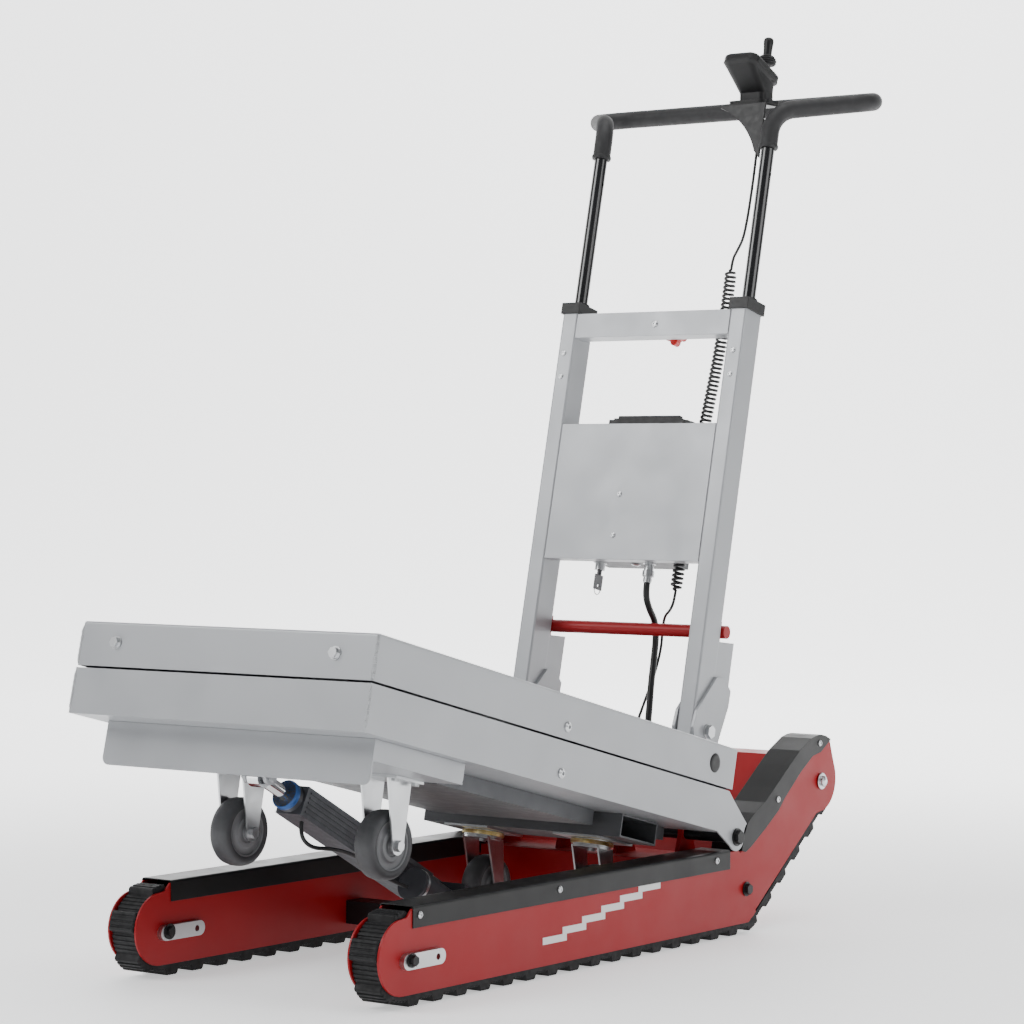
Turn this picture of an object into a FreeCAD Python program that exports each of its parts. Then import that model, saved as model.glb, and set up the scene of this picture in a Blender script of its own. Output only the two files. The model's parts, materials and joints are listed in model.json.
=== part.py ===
import FreeCAD, Part
import math
import os
from FreeCAD import Vector as V, Placement, Rotation

# Motorised tracked stair climber with a tilting load platform.
# X is the width (left track at +X), -Y the front, +Z up, ground at z = 0.
doc = FreeCAD.newDocument("StairClimber")

# ------------------------------------------------------------------ driving sizes
sheet = doc.addObject("Spreadsheet::Sheet", "Sizes")
SIZES = [
    ("shift_y", 593.7),          # distance from the track datum to the middle of the length
    ("plate_out", 246.8),        # outer face of an outer side plate
    ("plate_in", 192.7),         # inner face of an inner side plate
    ("plate_thick", 3.0),
    ("cover_sheet", 1.5),
    ("cover_top", 138.1),
    ("cover_flange_low", 107.5),
    ("cover_front", 21.0),
    ("cover_length", 819.0),
    ("belt_thick", 8.0),
    ("lug_tall", 9.0),
    ("front_rad", 49.0),
    ("bend_rad", 54.0),
    ("top_rad", 37.0),
    ("axle_rad", 8.0),
    ("tilt_deg", 13.32),         # platform slope at rest
    ("lean_deg", 13.07),         # mast lean at rest
    ("deck_half", 268.3),
    ("deck_len", 936.6),
    ("deck_tall", 64.4),
    ("tray_tall", 66.2),
    ("tray_gap", 3.3),
    ("tray_sheet", 3.0),
    ("pivot_rad", 10.0),
    ("carrier_half", 243.0),
    ("carrier_low", 164.0),
    ("caster_rad", 50.0),
    ("caster_wide", 34.0),
    ("caster_track", 133.1),
    ("rear_track", 105.0),
    ("mast_half", 180.9),
    ("up_wide", 30.0),
    ("up_deep", 50.0),
    ("up_wall", 2.5),
    ("mast_top", 688.2),
    ("tube_rad", 11.0),
    ("grip_rad", 15.0),
    ("bar_rad", 10.5),
    ("stick_rad", 7.0),
    ("lead_rad", 2.3),
    ("coil_rad", 10.4),
    ("power_rad", 5.5),
    ("screw_rad", 5.0),
]
for i, (name, value) in enumerate(SIZES):
    sheet.set("A%d" % (i + 1), name)
    sheet.set("B%d" % (i + 1), repr(value))
    sheet.setAlias("B%d" % (i + 1), name)
doc.recompute()


def g(name):
    return float(sheet.get(name))


SH = g("shift_y")
T = math.radians(g("tilt_deg"))
M = math.radians(g("lean_deg"))
CH = Placement(V(0, -SH, 0), Rotation())                                     # chassis datum
PF = Placement(V(0, -81.41 - SH, 514.113), Rotation(V(1, 0, 0), -g("tilt_deg")))  # y along deck, z normal
MF = Placement(V(0, 833.384 - SH, 333.303), Rotation(V(1, 0, 0), -g("lean_deg")))  # z up the mast, y rearward
nodes = []


def keep(obj, label=None):
    if label:
        obj.Label = label
    nodes.append(obj)
    return obj


# ------------------------------------------------------------------ helpers
def role(body, name):
    for f in body.Origin.OriginFeatures:
        if f.Role == name:
            return f


def new_body(label, place=None):
    b = doc.addObject("PartDesign::Body", label)
    b.Label = label
    if place is not None:
        b.Placement = place
    return b


def draw(body, plane, name, items, offset=None, expr=None):
    """A closed profile: points in a row, or ('arc', via, end) items, from the first point."""
    sk = body.newObject("Sketcher::SketchObject", name)
    sk.AttachmentSupport = (role(body, plane), [""])
    sk.MapMode = "FlatFace"
    if offset is not None:
        sk.AttachmentOffset = Placement(V(0, 0, offset), Rotation())
    if expr is not None:
        sk.setExpression(".AttachmentOffset.Base.z", expr)
    for edge in profile(items):
        sk.addGeometry(edge, False)
    return sk


def profile(items):
    out = []
    start = last = V(items[0][0], items[0][1], 0)
    for it in items[1:]:
        if it[0] == "arc":
            via, end = V(it[1][0], it[1][1], 0), V(it[2][0], it[2][1], 0)
            out.append(Part.Arc(last, via, end))
            last = end
        else:
            end = V(it[0], it[1], 0)
            if (end - last).Length > 1e-6:
                out.append(Part.LineSegment(last, end))
            last = end
    if (last - start).Length > 1e-6:
        out.append(Part.LineSegment(last, start))
    return out


def face_of(items):
    return Part.Face(Part.Wire([e.toShape() for e in profile(items)]))


def pad(body, sk, length, reverse=False, mid=False, name="Pad"):
    f = body.newObject("PartDesign::Pad", name)
    f.Profile = sk
    if isinstance(length, str):
        f.setExpression("Length", length)
    else:
        f.Length = length
    f.Reversed = reverse
    if mid:
        f.Midplane = True
    return f


def pocket(body, sk, length, reverse=False, name="Pocket", through=False):
    f = body.newObject("PartDesign::Pocket", name)
    f.Profile = sk
    if through:
        f.Type = 1
        f.Midplane = True
    elif isinstance(length, str):
        f.setExpression("Length", length)
    else:
        f.Length = length
    f.Reversed = reverse
    return f


def slab(label, items, x0, x1, place, expr=None):
    """Plate with a side-view outline (y, z), from x0 to x1, as a padded sketch."""
    b = new_body(label, place)
    sk = draw(b, "YZ_Plane", label + "_outline", items, offset=x0)
    pad(b, sk, expr if expr else (x1 - x0), name=label + "_pad")
    return b


def turned(label, items, place):
    """Solid turned about its own X axis; items are (x, radius)."""
    b = new_body(label, place)
    sk = draw(b, "XY_Plane", label + "_profile", items)
    r = b.newObject("PartDesign::Revolution", label + "_turn")
    r.Profile = sk
    r.ReferenceAxis = (sk, ["H_Axis"])
    r.Angle = 360
    return b


def prism(items, x0, x1):
    """Side-view outline (y, z) as a solid between x0 and x1."""
    f = face_of(items)
    f.transformShape(FreeCAD.Matrix(0, 0, 1, 0, 1, 0, 0, 0, 0, 1, 0, 0, 0, 0, 0, 1))
    f.translate(V(x0, 0, 0))
    return f.extrude(V(x1 - x0, 0, 0))


def plate_xz(items, y0, y1):
    """Front-view outline (x, z) as a solid between y0 and y1."""
    f = face_of(items)
    f.rotate(V(0, 0, 0), V(1, 0, 0), 90)
    f.translate(V(0, y0, 0))
    return f.extrude(V(0, y1 - y0, 0))


def box(x0, x1, y0, y1, z0, z1):
    return Part.makeBox(x1 - x0, y1 - y0, z1 - z0, V(x0, y0, z0))


def cyl(p, d, r, length):
    return Part.makeCylinder(r, length, V(*p), V(*d))


def rod(p, q, r):
    a, b = V(*p), V(*q)
    return Part.makeCylinder(r, (b - a).Length, a, b - a)


def hexagon(p, d, across, tall):
    """Hexagon bolt head of the given size across flats."""
    r = across / math.sqrt(3)
    pts = [V(r * math.cos(math.radians(60 * k)), r * math.sin(math.radians(60 * k)), 0) for k in range(7)]
    s = Part.Face(Part.makePolygon(pts)).extrude(V(0, 0, tall))
    s.Placement = Placement(V(*p), Rotation(V(0, 0, 1), V(*d)))
    return s


def button(p, d, r, tall):
    """Low domed screw head with a hexagon socket."""
    s = Part.makeCylinder(r, tall * 0.45).fuse(Part.makeCone(r, r * 0.6, tall * 0.55, V(0, 0, tall * 0.45))).removeSplitter()
    q = r * 0.42
    pts = [V(q * math.cos(math.radians(60 * k)), q * math.sin(math.radians(60 * k)), tall * 0.4) for k in range(7)]
    s = s.cut(Part.Face(Part.makePolygon(pts)).extrude(V(0, 0, tall)))
    s.Placement = Placement(V(*p), Rotation(V(0, 0, 1), V(*d)))
    return s


def group(label, shapes, place=None):
    """Several separate solids in one node, or one solid built with Part's functions."""
    solids = []
    for s in shapes:
        solids += s.Solids
    shape = solids[0] if len(solids) == 1 else Part.makeCompound(solids)
    f = doc.addObject("Part::Feature", label)
    f.Shape = shape
    if place is not None:
        f.Placement = place.multiply(shape.Placement)
    return keep(f, label)


def fused(shapes):
    s = shapes[0].multiFuse(shapes[1:]) if len(shapes) > 1 else shapes[0]
    return s.removeSplitter()


def offset_line(pts, d):
    """Open row of points moved sideways by d, to its right going along it."""
    out = []
    for i, p in enumerate(pts):
        a = pts[max(i - 1, 0)]
        b = pts[min(i + 1, len(pts) - 1)]
        dx, dy = b[0] - a[0], b[1] - a[1]
        n = math.hypot(dx, dy)
        out.append((p[0] + dy / n * d, p[1] - dx / n * d))
    return out


def tube_path(pts, fixed=None, report=None):
    """Straight runs joined by tangent arcs, each as large as its two runs allow."""
    P = [V(*p) for p in pts]
    edges, radii = [], []
    last = P[0]
    for i in range(1, len(P) - 1):
        a, b, c = P[i - 1], P[i], P[i + 1]
        u = (b - a).normalize()
        w = (c - b).normalize()
        turn = u.getAngle(w)
        run = min((b - a).Length, (c - b).Length)
        rad = 0.45 * run / math.tan(turn / 2)
        if fixed:
            rad = fixed
        t = rad * math.tan(turn / 2)
        s, e = b - u * t, b + w * t
        mid_dir = (w - u)
        mid_dir.normalize()
        centre = b + mid_dir * (rad / math.cos(turn / 2))
        m = centre - mid_dir * rad
        if (s - last).Length > 1e-4:
            edges.append(Part.LineSegment(last, s).toShape())
        edges.append(Part.Arc(s, m, e).toShape())
        last = e
        radii.append(round(rad, 1))
    edges.append(Part.LineSegment(last, P[-1]).toShape())
    if report:
        print(report, "length", round(sum(e.Length for e in edges), 1), "arc radii", radii)
    return Part.Wire(edges)


def tube(pts, rad, fixed=None, report=None):
    w = tube_path(pts, fixed, report)
    d = V(*pts[1]) - V(*pts[0])
    c = Part.Wire(Part.makeCircle(rad, V(*pts[0]), d))
    s = w.makePipeShell([c], True, False)
    want = math.pi * rad * rad * w.Length
    if not s.isValid() or abs(s.Volume - want) > 0.02 * want:
        raise RuntimeError("tube %s: volume %.0f against %.0f" % (report, s.Volume, want))
    return s


def tangent(c0, r0, c1, r1, side):
    """Touch points of the line that runs on one side of two circles."""
    dx, dy = c1[0] - c0[0], c1[1] - c0[1]
    d = math.hypot(dx, dy)
    base = math.atan2(dy, dx)
    k = math.acos((r0 - r1) / d)
    a = base + side * k
    n = (math.cos(a), math.sin(a))
    return (c0[0] + r0 * n[0], c0[1] + r0 * n[1]), (c1[0] + r1 * n[0], c1[1] + r1 * n[1])


def on_circle(c, r, deg):
    return (c[0] + r * math.cos(math.radians(deg)), c[1] + r * math.sin(math.radians(deg)))


# ------------------------------------------------------------------ track geometry (y, z)
FRONT, BEND, TOP = (10.0, 66.0), (891.0, 71.0), (1124.3, 225.0)
PO, PI, PT = g("plate_out"), g("plate_in"), g("plate_thick")
SHEET = g("cover_sheet")
REAR_TOP = [(875.3, 133.4), (880.0, 152.0), (892.0, 176.0), (914.0, 190.0), (944.0, 204.5), (975.0, 225.5),
            (1022.0, 258.5), (1054.0, 280.0), (1092.0, 297.5), (1108.0, 301.0), (1122.0, 302.0), (1138.0, 299.0), (1154.5, 292.0)]
REAR_LOW = [(1122.0, 273.2), (1095.9, 268.4), (1057.4, 244.9), (1007.0, 206.5), (988.3, 188.6), (948.1, 163.1), (902.3, 136.8), (887.1, 130.3)]
under = offset_line(REAR_TOP, 2.2)
outline = [(0, 17.2), ("arc", (-52.6, 69.8), (0, 122.4)), (9, 123.5), (20, 134.0), (868, 134.0), (872, 129.5)]
outline += [p for p in under if p[0] > 876]
ramp = lambda y: 31.8 + 0.7218 * (y - 915.8)
outline += [(1168.5, 250.0), ("arc", on_circle(TOP, 49.5, -15), on_circle(TOP, 49.5, -80)), (1112.0, ramp(1112.0)), (915.8, 31.8), (903.7, 19.6), (899.0, 17.2)]
axle_at = [FRONT, BEND, TOP]


def side_plate(x0):
    s = prism(outline, x0, x0 + PT)
    for c in axle_at:
        s = s.cut(cyl((x0 - 1, c[0], c[1]), (1, 0, 0), g("axle_rad") + 0.1, PT + 2))
    return s


def plate_body(label, x0):
    b = new_body(label, CH)
    sk = draw(b, "YZ_Plane", label + "_outline", outline, offset=x0)
    p = pad(b, sk, "Sizes.plate_thick", name=label + "_pad")
    doc.recompute()
    before = b.Shape.Volume
    sk2 = b.newObject("Sketcher::SketchObject", label + "_holes")
    sk2.AttachmentSupport = (role(b, "YZ_Plane"), [""])
    sk2.MapMode = "FlatFace"
    sk2.AttachmentOffset = Placement(V(0, 0, x0 - 2), Rotation())
    for c in axle_at:
        sk2.addGeometry(Part.Circle(V(c[0], c[1], 0), V(0, 0, 1), g("axle_rad") + 0.1), False)
    pk = pocket(b, sk2, 10.0, reverse=True, name=label + "_bores")
    doc.recompute()
    assert b.Shape.Volume < before - 1000, label
    return keep(b)


plate_body("left_outer_plate", PO - PT)
plate_body("right_outer_plate", -PO)
# curved shoes between the plates guide the belt round the foot of the ramp
shoe = [on_circle(BEND, 53.6, -96), ("arc", on_circle(BEND, 53.6, -72), on_circle(BEND, 53.6, -48)), on_circle(BEND, 44.4, -48), ("arc", on_circle(BEND, 44.4, -72), on_circle(BEND, 44.4, -96))]
group("inner_side_plates", [side_plate(PI), side_plate(-PI - PT), prism(shoe, PI + PT, PO - PT), prism(shoe, -PO + PT, -PI - PT)], CH)

# front covers: inverted channel over each track
for side, sx in (("left", 1), ("right", -1)):
    a, b_ = PI - 1.7, PO + 1.7
    x0, x1 = (a, b_) if sx > 0 else (-b_, -a)
    zt, zl = g("cover_top"), g("cover_flange_low")
    b = new_body(side + "_front_cover", CH)
    r = 4.0
    prof = [(x0, zl), (x0, zt - r), ("arc", (x0 + r * 0.2929, zt - r * 0.2929), (x0 + r, zt)), (x1 - r, zt),
            ("arc", (x1 - r * 0.2929, zt - r * 0.2929), (x1, zt - r)), (x1, zl), (x1 - SHEET, zl),
            (x1 - SHEET, zt - r), ("arc", (x1 - SHEET - (r - SHEET) * 0.2929, zt - SHEET - (r - SHEET) * 0.2929), (x1 - r, zt - SHEET)),
            (x0 + r, zt - SHEET), ("arc", (x0 + SHEET + (r - SHEET) * 0.2929, zt - SHEET - (r - SHEET) * 0.2929), (x0 + SHEET, zt - r)), (x0 + SHEET, zl)]
    sk = draw(b, "XZ_Plane", side + "_channel", prof, offset=-g("cover_front"))
    pad(b, sk, "Sizes.cover_length", reverse=True, name=side + "_fold")
    keep(b)
    # rear cover over the ramp
    outer = [p for p in REAR_TOP] + REAR_LOW
    inner = offset_line(REAR_TOP, SHEET)
    inner = [(inner[0][0] + 0.5, inner[0][1] - 60)] + inner + [(inner[-1][0] + 12, inner[-1][1] - 4), (inner[-1][0] + 12, 60.0)]
    cov = prism(outer, x0, x1).cut(prism(inner, x0 + SHEET, x1 - SHEET))
    # end skirt behind the crest
    group(side + "_rear_cover", [cov], CH)

# belts
i_top0, i_top1 = tangent(BEND, g("bend_rad"), TOP, g("top_rad"), -1)
up = (math.cos(math.radians(36.87)), math.sin(math.radians(36.87)))
ang = math.atan2(i_top1[1] - i_top0[1], i_top1[0] - i_top0[0])
run_dir = (math.cos(ang), math.sin(ang))
nrm = (-run_dir[1], run_dir[0])
r_hi = (TOP[0] + g("top_rad") * nrm[0], TOP[1] + g("top_rad") * nrm[1])
z_ret = FRONT[1] + g("front_rad")
k = (r_hi[1] - z_ret) / run_dir[1]
corner = (r_hi[0] - run_dir[0] * k, z_ret)
RC = 150.0
tl = RC * math.tan(ang / 2)
c_a = (corner[0] + run_dir[0] * tl, corner[1] + run_dir[1] * tl)
c_b = (corner[0] - tl, z_ret)
cc = (c_b[0], z_ret + RC)
c_m = (cc[0] + RC * math.sin(ang / 2), cc[1] - RC * math.cos(ang / 2))
z_low = FRONT[1] - g("front_rad")
bend_bottom = (BEND[0], BEND[1] - g("bend_rad"))
mid_bend = on_circle(BEND, g("bend_rad"), -90 + math.degrees(ang) / 2)
loop = [(FRONT[0], z_low), bend_bottom, ("arc", mid_bend, i_top0), i_top1,
        ("arc", on_circle(TOP, g("top_rad"), math.degrees(ang)), r_hi), c_a, ("arc", c_m, c_b), (FRONT[0], z_ret),
        ("arc", (FRONT[0] - g("front_rad"), FRONT[1]), (FRONT[0], z_low))]
inner_face = face_of(loop)
outer_face = inner_face.makeOffset2D(g("belt_thick"))
wire = inner_face.OuterWire
edges = Part.__sortEdges__(wire.Edges)
total = sum(e.Length for e in edges)
n_lug = int(round(total / 55.0))
PITCH = total / n_lug
print("belt length", round(total, 1), "lugs", n_lug, "pitch", round(PITCH, 2))


def belt_solid(x0, x1):
    def lift(f):
        f = f.copy()
        f.transformShape(FreeCAD.Matrix(0, 0, 1, 0, 1, 0, 0, 0, 0, 1, 0, 0, 0, 0, 0, 1))
        f.translate(V(x0, 0, 0))
        return f.extrude(V(x1 - x0, 0, 0))
    band = lift(outer_face).cut(lift(inner_face))
    lugs = []
    for i in range(n_lug):
        s = (i + 0.35) * PITCH
        for e in edges:
            if s <= e.Length:
                break
            s -= e.Length
        t = e.getParameterByLength(s)
        p = e.valueAt(t)
        d = e.tangentAt(t)
        n = V(d.y, -d.x, 0)
        probe = p + n * 1.0
        if inner_face.isInside(probe, 1e-3, True):
            n = n * -1
        th = g("belt_thick")
        tall = g("lug_tall")
        near = p + n * (th - 3.0)
        far = p + n * (th + tall)
        q = [near - d * 15.5, near + d * 15.5, far + d * 10.5, far - d * 10.5]
        lugs.append(prism([(v.x, v.y) for v in q], x0, x1))
    return fused([band] + lugs)


group("left_belt", [belt_solid(PI + PT + 0.6, PO - PT - 0.6)], CH)
group("right_belt", [belt_solid(-PO + PT + 0.6, -PI - PT - 0.6)], CH)

# track wheels, turned with a rim, web and hub
W0, W1 = PI + PT + 2.6, PO - PT - 2.6
for side, sx in (("left", 1), ("right", -1)):
    for nm, c, rad in (("front_pulley", FRONT, g("front_rad") - 0.5), ("bend_pulley", BEND, 43.0), ("top_roller", TOP, g("top_rad") - 0.5)):
        w = W1 - W0
        rb = g("axle_rad") + 0.06
        prof = [(0, rb), (0, 17.0), (8, 17.0), (8, rad - 7), (1.5, rad - 7), (1.5, rad), (w - 1.5, rad), (w - 1.5, rad - 7),
                (w - 8, rad - 7), (w - 8, 17.0), (w, 17.0), (w, rb)]
        x = W0 if sx > 0 else -W1
        keep(turned(side + "_" + nm, prof, Placement(V(x, c[0] - SH, c[1]), Rotation())))

# centre housing between the ramps, with the lugs that carry the platform pivot shaft
PIV = (826.5, 160.8)
hx = PI - 2.2
prof = [(775, 45), (775, 122), (885, 122), (905, 142), (1043, 272.5), (1105, 272.5), (1150, 250), (1158, 205), (1120, 176), (960, 62), (930, 45)]
shell = prism(prof, -hx, hx).cut(prism([(778, 48), (778, 119), (886.5, 119), (907.2, 139.8), (1044.2, 269.5), (1104.4, 269.5), (1147.4, 248.2), (1154.6, 206.3), (1118.4, 178.6), (959, 65), (929, 48)], -hx + 3, hx - 3))
lugs = []
for x in (-176, -60, 52, 168):
    lug = prism([(800, 121), (812, 160.8), ("arc", (PIV[0], PIV[1] + 16), (841, 160.8)), (856, 121)], x, x + 8)
    lugs.append(lug.cut(cyl((x - 1, PIV[0], PIV[1]), (1, 0, 0), g("pivot_rad") + 0.02, 10)))
shell = fused([shell] + lugs)
# openings for the roller axles, and cable glands in the sloped front
for x in (-hx - 1, hx - 4):
    shell = shell.cut(cyl((x, TOP[0], TOP[1]), (1, 0, 0), 12.0, 5.0))
slope = V(0, -(272.5 - 142), (1043 - 905)).normalize()
GL1 = (30.0, 934.0, 142 + (934.0 - 905) * (130.5 / 138))
GL2 = (-4.0, 934.0, GL1[2])
glands = []
for gl, rad in ((GL1, 5.5), (GL2, 2.3)):
    base = V(*gl)
    shell = shell.cut(Part.makeCylinder(rad + 1.0, 10, base - slope * 5, slope))
group("center_housing", [shell], CH)

motors = []
for sx in (1, -1):
    x = 30 if sx > 0 else -176
    motors.append(fused([cyl((x if sx > 0 else -150, 1060, 200), (1, 0, 0), 42, 120),
                         box(150 if sx > 0 else -185, 185 if sx > 0 else -150, 1022, 1138, 202, 240),
                         cyl((175 if sx > 0 else -196.5, TOP[0], TOP[1]), (1, 0, 0), 8.0, 21.5)]))
group("drive_motors", motors, CH)

# cross beam between the tracks, with the ears that carry the actuator
R_EYE_PF = (118.0, -190.0)
TAIL = (407.5, 84.0)
beam = box(-PI + 0.3, PI - 0.3, 425, 465, 30, 66).cut(box(-PI - 1, PI + 1, 428, 462, 33, 63))
ears = []
for x in (-40, 34):
    e = prism([(396, 84), ("arc", (407.5, 95.5), (419, 88)), (452, 65.5), (426, 65.5), (426, 50), (414, 56)], x, x + 6)
    ears.append(e.cut(cyl((x - 1, TAIL[0], TAIL[1]), (1, 0, 0), 6.05, 8)))
pin = cyl((-44, TAIL[0], TAIL[1]), (1, 0, 0), 6.0, 88)
beam = fused([beam] + ears)
group("cross_beam", [beam, pin.common(box(-44, 44, 380, 440, 60, 110))], CH)

# fasteners of the covers
screws = []
for sx in (1, -1):
    for y, z in ((36, 124.5), (370, 124.5), (800, 124.5), (985, 206), (1118, 288)):
        x = sx * (PO + 1.75)
        screws.append(button((x, y, z), (sx, 0, 0), g("screw_rad"), 3.0))
group("cover_screws", screws, CH)

# belt tensioner bars on every plate
bars = []
for sx in (1, -1):
    for face, way in ((PO, 1), (PI, -1)):
        x = sx * (face + way * 0.05)
        d = sx * way
        bar = Part.makeBox(1, 1, 1)
        prof = [(4, 53), (76, 53), ("arc", (87, 64), (76, 75)), (4, 75), ("arc", (-7, 64), (4, 53))]
        xa, xb = (x, x + d * 8) if d > 0 else (x - 8, x)
        bar = prism(prof, xa, xb)
        for y in (10.0, 70.0):
            rr = g("axle_rad") + 0.1 if y == 10.0 else 4.5
            zz = 66.0 if y == 10.0 else 64.0
            bar = bar.cut(cyl((xa - 1, y, zz), (1, 0, 0), rr, 10))
        bars.append(bar)
group("tensioner_bars", bars, CH)

# axles: one through each track wheel, with heads and washers
axles = []
for sx in (1, -1):
    for c, kind in ((FRONT, 0), (BEND, 1), (TOP, 2)):
        lo, hi = PI - 0.5, PO + 0.5
        if kind == 0:
            lo, hi = PI - 8.4, PO + 8.4
        if kind == 2:
            lo = PI + 4.5
        a, b_ = (lo, hi) if sx > 0 else (-hi, -lo)
        parts = [cyl((a, c[0], c[1]), (1, 0, 0), g("axle_rad"), b_ - a)]
        out = sx * hi
        parts.append(cyl((out, c[0], c[1]), (sx, 0, 0), 11.5 if kind else 10.0, 1.6))
        parts.append(hexagon((out + sx * 1.6, c[0], c[1]), (sx, 0, 0), 15.0 if kind else 13.0, 6.0))
        if kind != 2:
            inn = sx * lo
            parts.append(cyl((inn, c[0], c[1]), (-sx, 0, 0), 11.5, 1.2))
            if kind == 0:
                parts.append(hexagon((inn - sx * 1.2, c[0], c[1]), (-sx, 0, 0), 13.0, 1.2 + 3.0))
        axles.append(fused(parts))
group("axle_bolts", axles, CH)

shaft = fused([cyl((-269, PIV[0], PIV[1]), (1, 0, 0), g("pivot_rad"), 538),
               hexagon((269, PIV[0], PIV[1]), (1, 0, 0), 19, 8), hexagon((-269, PIV[0], PIV[1]), (-1, 0, 0), 19, 8),
               cyl((268.8, PIV[0], PIV[1]), (1, 0, 0), 14, 1.6), cyl((-268.8, PIV[0], PIV[1]), (-1, 0, 0), 14, 1.6)])
group("pivot_shaft", [shaft], CH)

# ------------------------------------------------------------------ platform (x, along the deck, normal)
DH, DL, DT = g("deck_half"), g("deck_len"), g("deck_tall")
TS = g("tray_sheet")
b = new_body("deck_tray", PF)
sk = draw(b, "XY_Plane", "deck_outline", [(-DH, 0), (DH, 0), (DH, DL), (-DH, DL)], offset=-DT)
pad(b, sk, "Sizes.deck_tall", name="deck_block")
doc.recompute()
solid = b.Shape.copy()
solid.Placement = Placement()
names = []
for i, e in enumerate(b.Tip.Shape.Edges):
    vs = [v.Point for v in e.Vertexes]
    vertical = abs(vs[0].x - vs[1].x) < 1e-3 and abs(vs[0].y - vs[1].y) < 1e-3
    top = abs(vs[0].z) < 1e-3 and abs(vs[1].z) < 1e-3
    if vertical or top:
        names.append("Edge%d" % (i + 1))
fl = b.newObject("PartDesign::Fillet", "deck_bends")
fl.Base = (b.Tip, names) if b.Tip != fl else (doc.getObject("deck_block"), names)
fl.Radius = 4.0
doc.recompute()
v0 = b.Shape.Volume
sk = draw(b, "XY_Plane", "deck_hollow", [(-DH + TS, TS), (DH - TS, TS), (DH - TS, DL - TS), (-DH + TS, DL - TS)], offset=-DT)
pocket(b, sk, DT - TS, reverse=True, name="deck_inside")
doc.recompute()
assert b.Shape.Volume < 0.3 * v0, "deck pocket"
sk = b.newObject("Sketcher::SketchObject", "deck_side_bore")
sk.AttachmentSupport = (role(b, "YZ_Plane"), [""])
sk.MapMode = "FlatFace"
sk.addGeometry(Part.Circle(V(873.4, -32.0, 0), V(0, 0, 1), 15.0), False)
pocket(b, sk, 0, name="deck_side_holes", through=True)
sk = draw(b, "XY_Plane", "mast_wells", [(142, DL + 5), (142, DL - 27), (190, DL - 27), (190, DL + 5)], offset=1)
pocket(b, sk, 13.0, name="well_left")
sk = draw(b, "XY_Plane", "mast_wells_right", [(-142, DL + 5), (-142, DL - 27), (-190, DL - 27), (-190, DL + 5)], offset=1)
pocket(b, sk, 13.0, name="well_right")
doc.recompute()
keep(b)

VT = -(DT + g("tray_gap"))
VB = VT - g("tray_tall")
pivot_pf = PF.inverse().multVec(V(0, PIV[0] - SH, PIV[1]))
UP, VP = pivot_pf.y, pivot_pf.z
side = [(0, VT), (926, VT), (940, -78), (990, -110), ("arc", (UP + 19.5, VP + 12), (UP + 22, VP)), ("arc", (UP + 6, VP - 21.2), (UP - 14, VP - 17)), (905, VB), (0, VB)]
walls = [prism(side, DH - TS, DH), prism(side, -DH, -DH + TS)]
tray = walls + [box(-DH + TS - 0.01, DH - TS + 0.01, 0, 925, VB, VB + TS), box(-DH + TS - 0.01, DH - TS + 0.01, 0, TS, VB, VT),
                box(-DH + TS - 0.01, DH - TS + 0.01, 922, 925, VB, VT)]
tray = fused(tray)
for x in (-DH - 1, DH - TS - 1):
    tray = tray.cut(cyl((x, UP, VP), (1, 0, 0), g("pivot_rad") + 0.05, TS + 2))
group("lower_tray", [tray], PF)

# caster carrier: channel with a deep front skirt, and the clevis of the actuator rod
CHF, VC = g("carrier_half"), -g("carrier_low")
skirt = plate_xz([(-CHF, VB - 0.2), (CHF, VB - 0.2), (CHF, -186), ("arc", (CHF - 3.5, -193.5), (CHF - 12, -197)), (-CHF + 12, -197), ("arc", (-CHF + 3.5, -193.5), (-CHF, -186))], 57, 60)
chan = [skirt, box(-CHF, CHF, 59.9, 265, VC, VC + 3)]
for x0, x1 in ((CHF - 3, CHF), (-CHF, -CHF + 3)):
    chan.append(prism([(59.9, VB - 0.2), (265, VB - 0.2), (265, VC + 8), ("arc", (262.7, VC + 2.3), (257, VC)), (59.9, VC)], x0, x1))
chan.append(box(-CHF + 2.9, CHF - 2.9, 262, 265, VC + 3, VB - 0.2))
EU, EV = R_EYE_PF
for x in (-22, 16):
    ear = prism([(EU - 20, VC + 1), (EU - 11, EV), ("arc", (EU, EV - 11), (EU + 11, EV)), (EU + 20, VC + 1)], x, x + 6)
    chan.append(ear)
carrier = fused(chan)
carrier = carrier.cut(cyl((-30, EU, EV), (1, 0, 0), 5.05, 60))
eyepin = fused([cyl((-24, EU, EV), (1, 0, 0), 5.0, 48), hexagon((22.2, EU, EV), (1, 0, 0), 13, 5), hexagon((-22.2, EU, EV), (-1, 0, 0), 13, 5)])
group("caster_carrier", [carrier, eyepin], PF)

belly = box(-150, 150, 330, 735, VB - 24, VB - 0.2).cut(box(-148, 148, 332, 733, VB - 22, VB + 1))
group("belly_box", [belly], PF)
c1 = prism([(757, VB - 0.2), (859, VB - 0.2), (859, VB - 36), (757, VB - 36)], -188, 188)
c1 = c1.cut(prism([(760, VB - 3.2), (856, VB - 3.2), (856, VB - 33), (760, VB - 33)], -189, 189))
blocks = [box(x - 13, x + 13, 880, 918, VB - 20, VB - 0.2) for x in (-150, 150)]
group("cross_channel", [c1] + blocks, PF)

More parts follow.
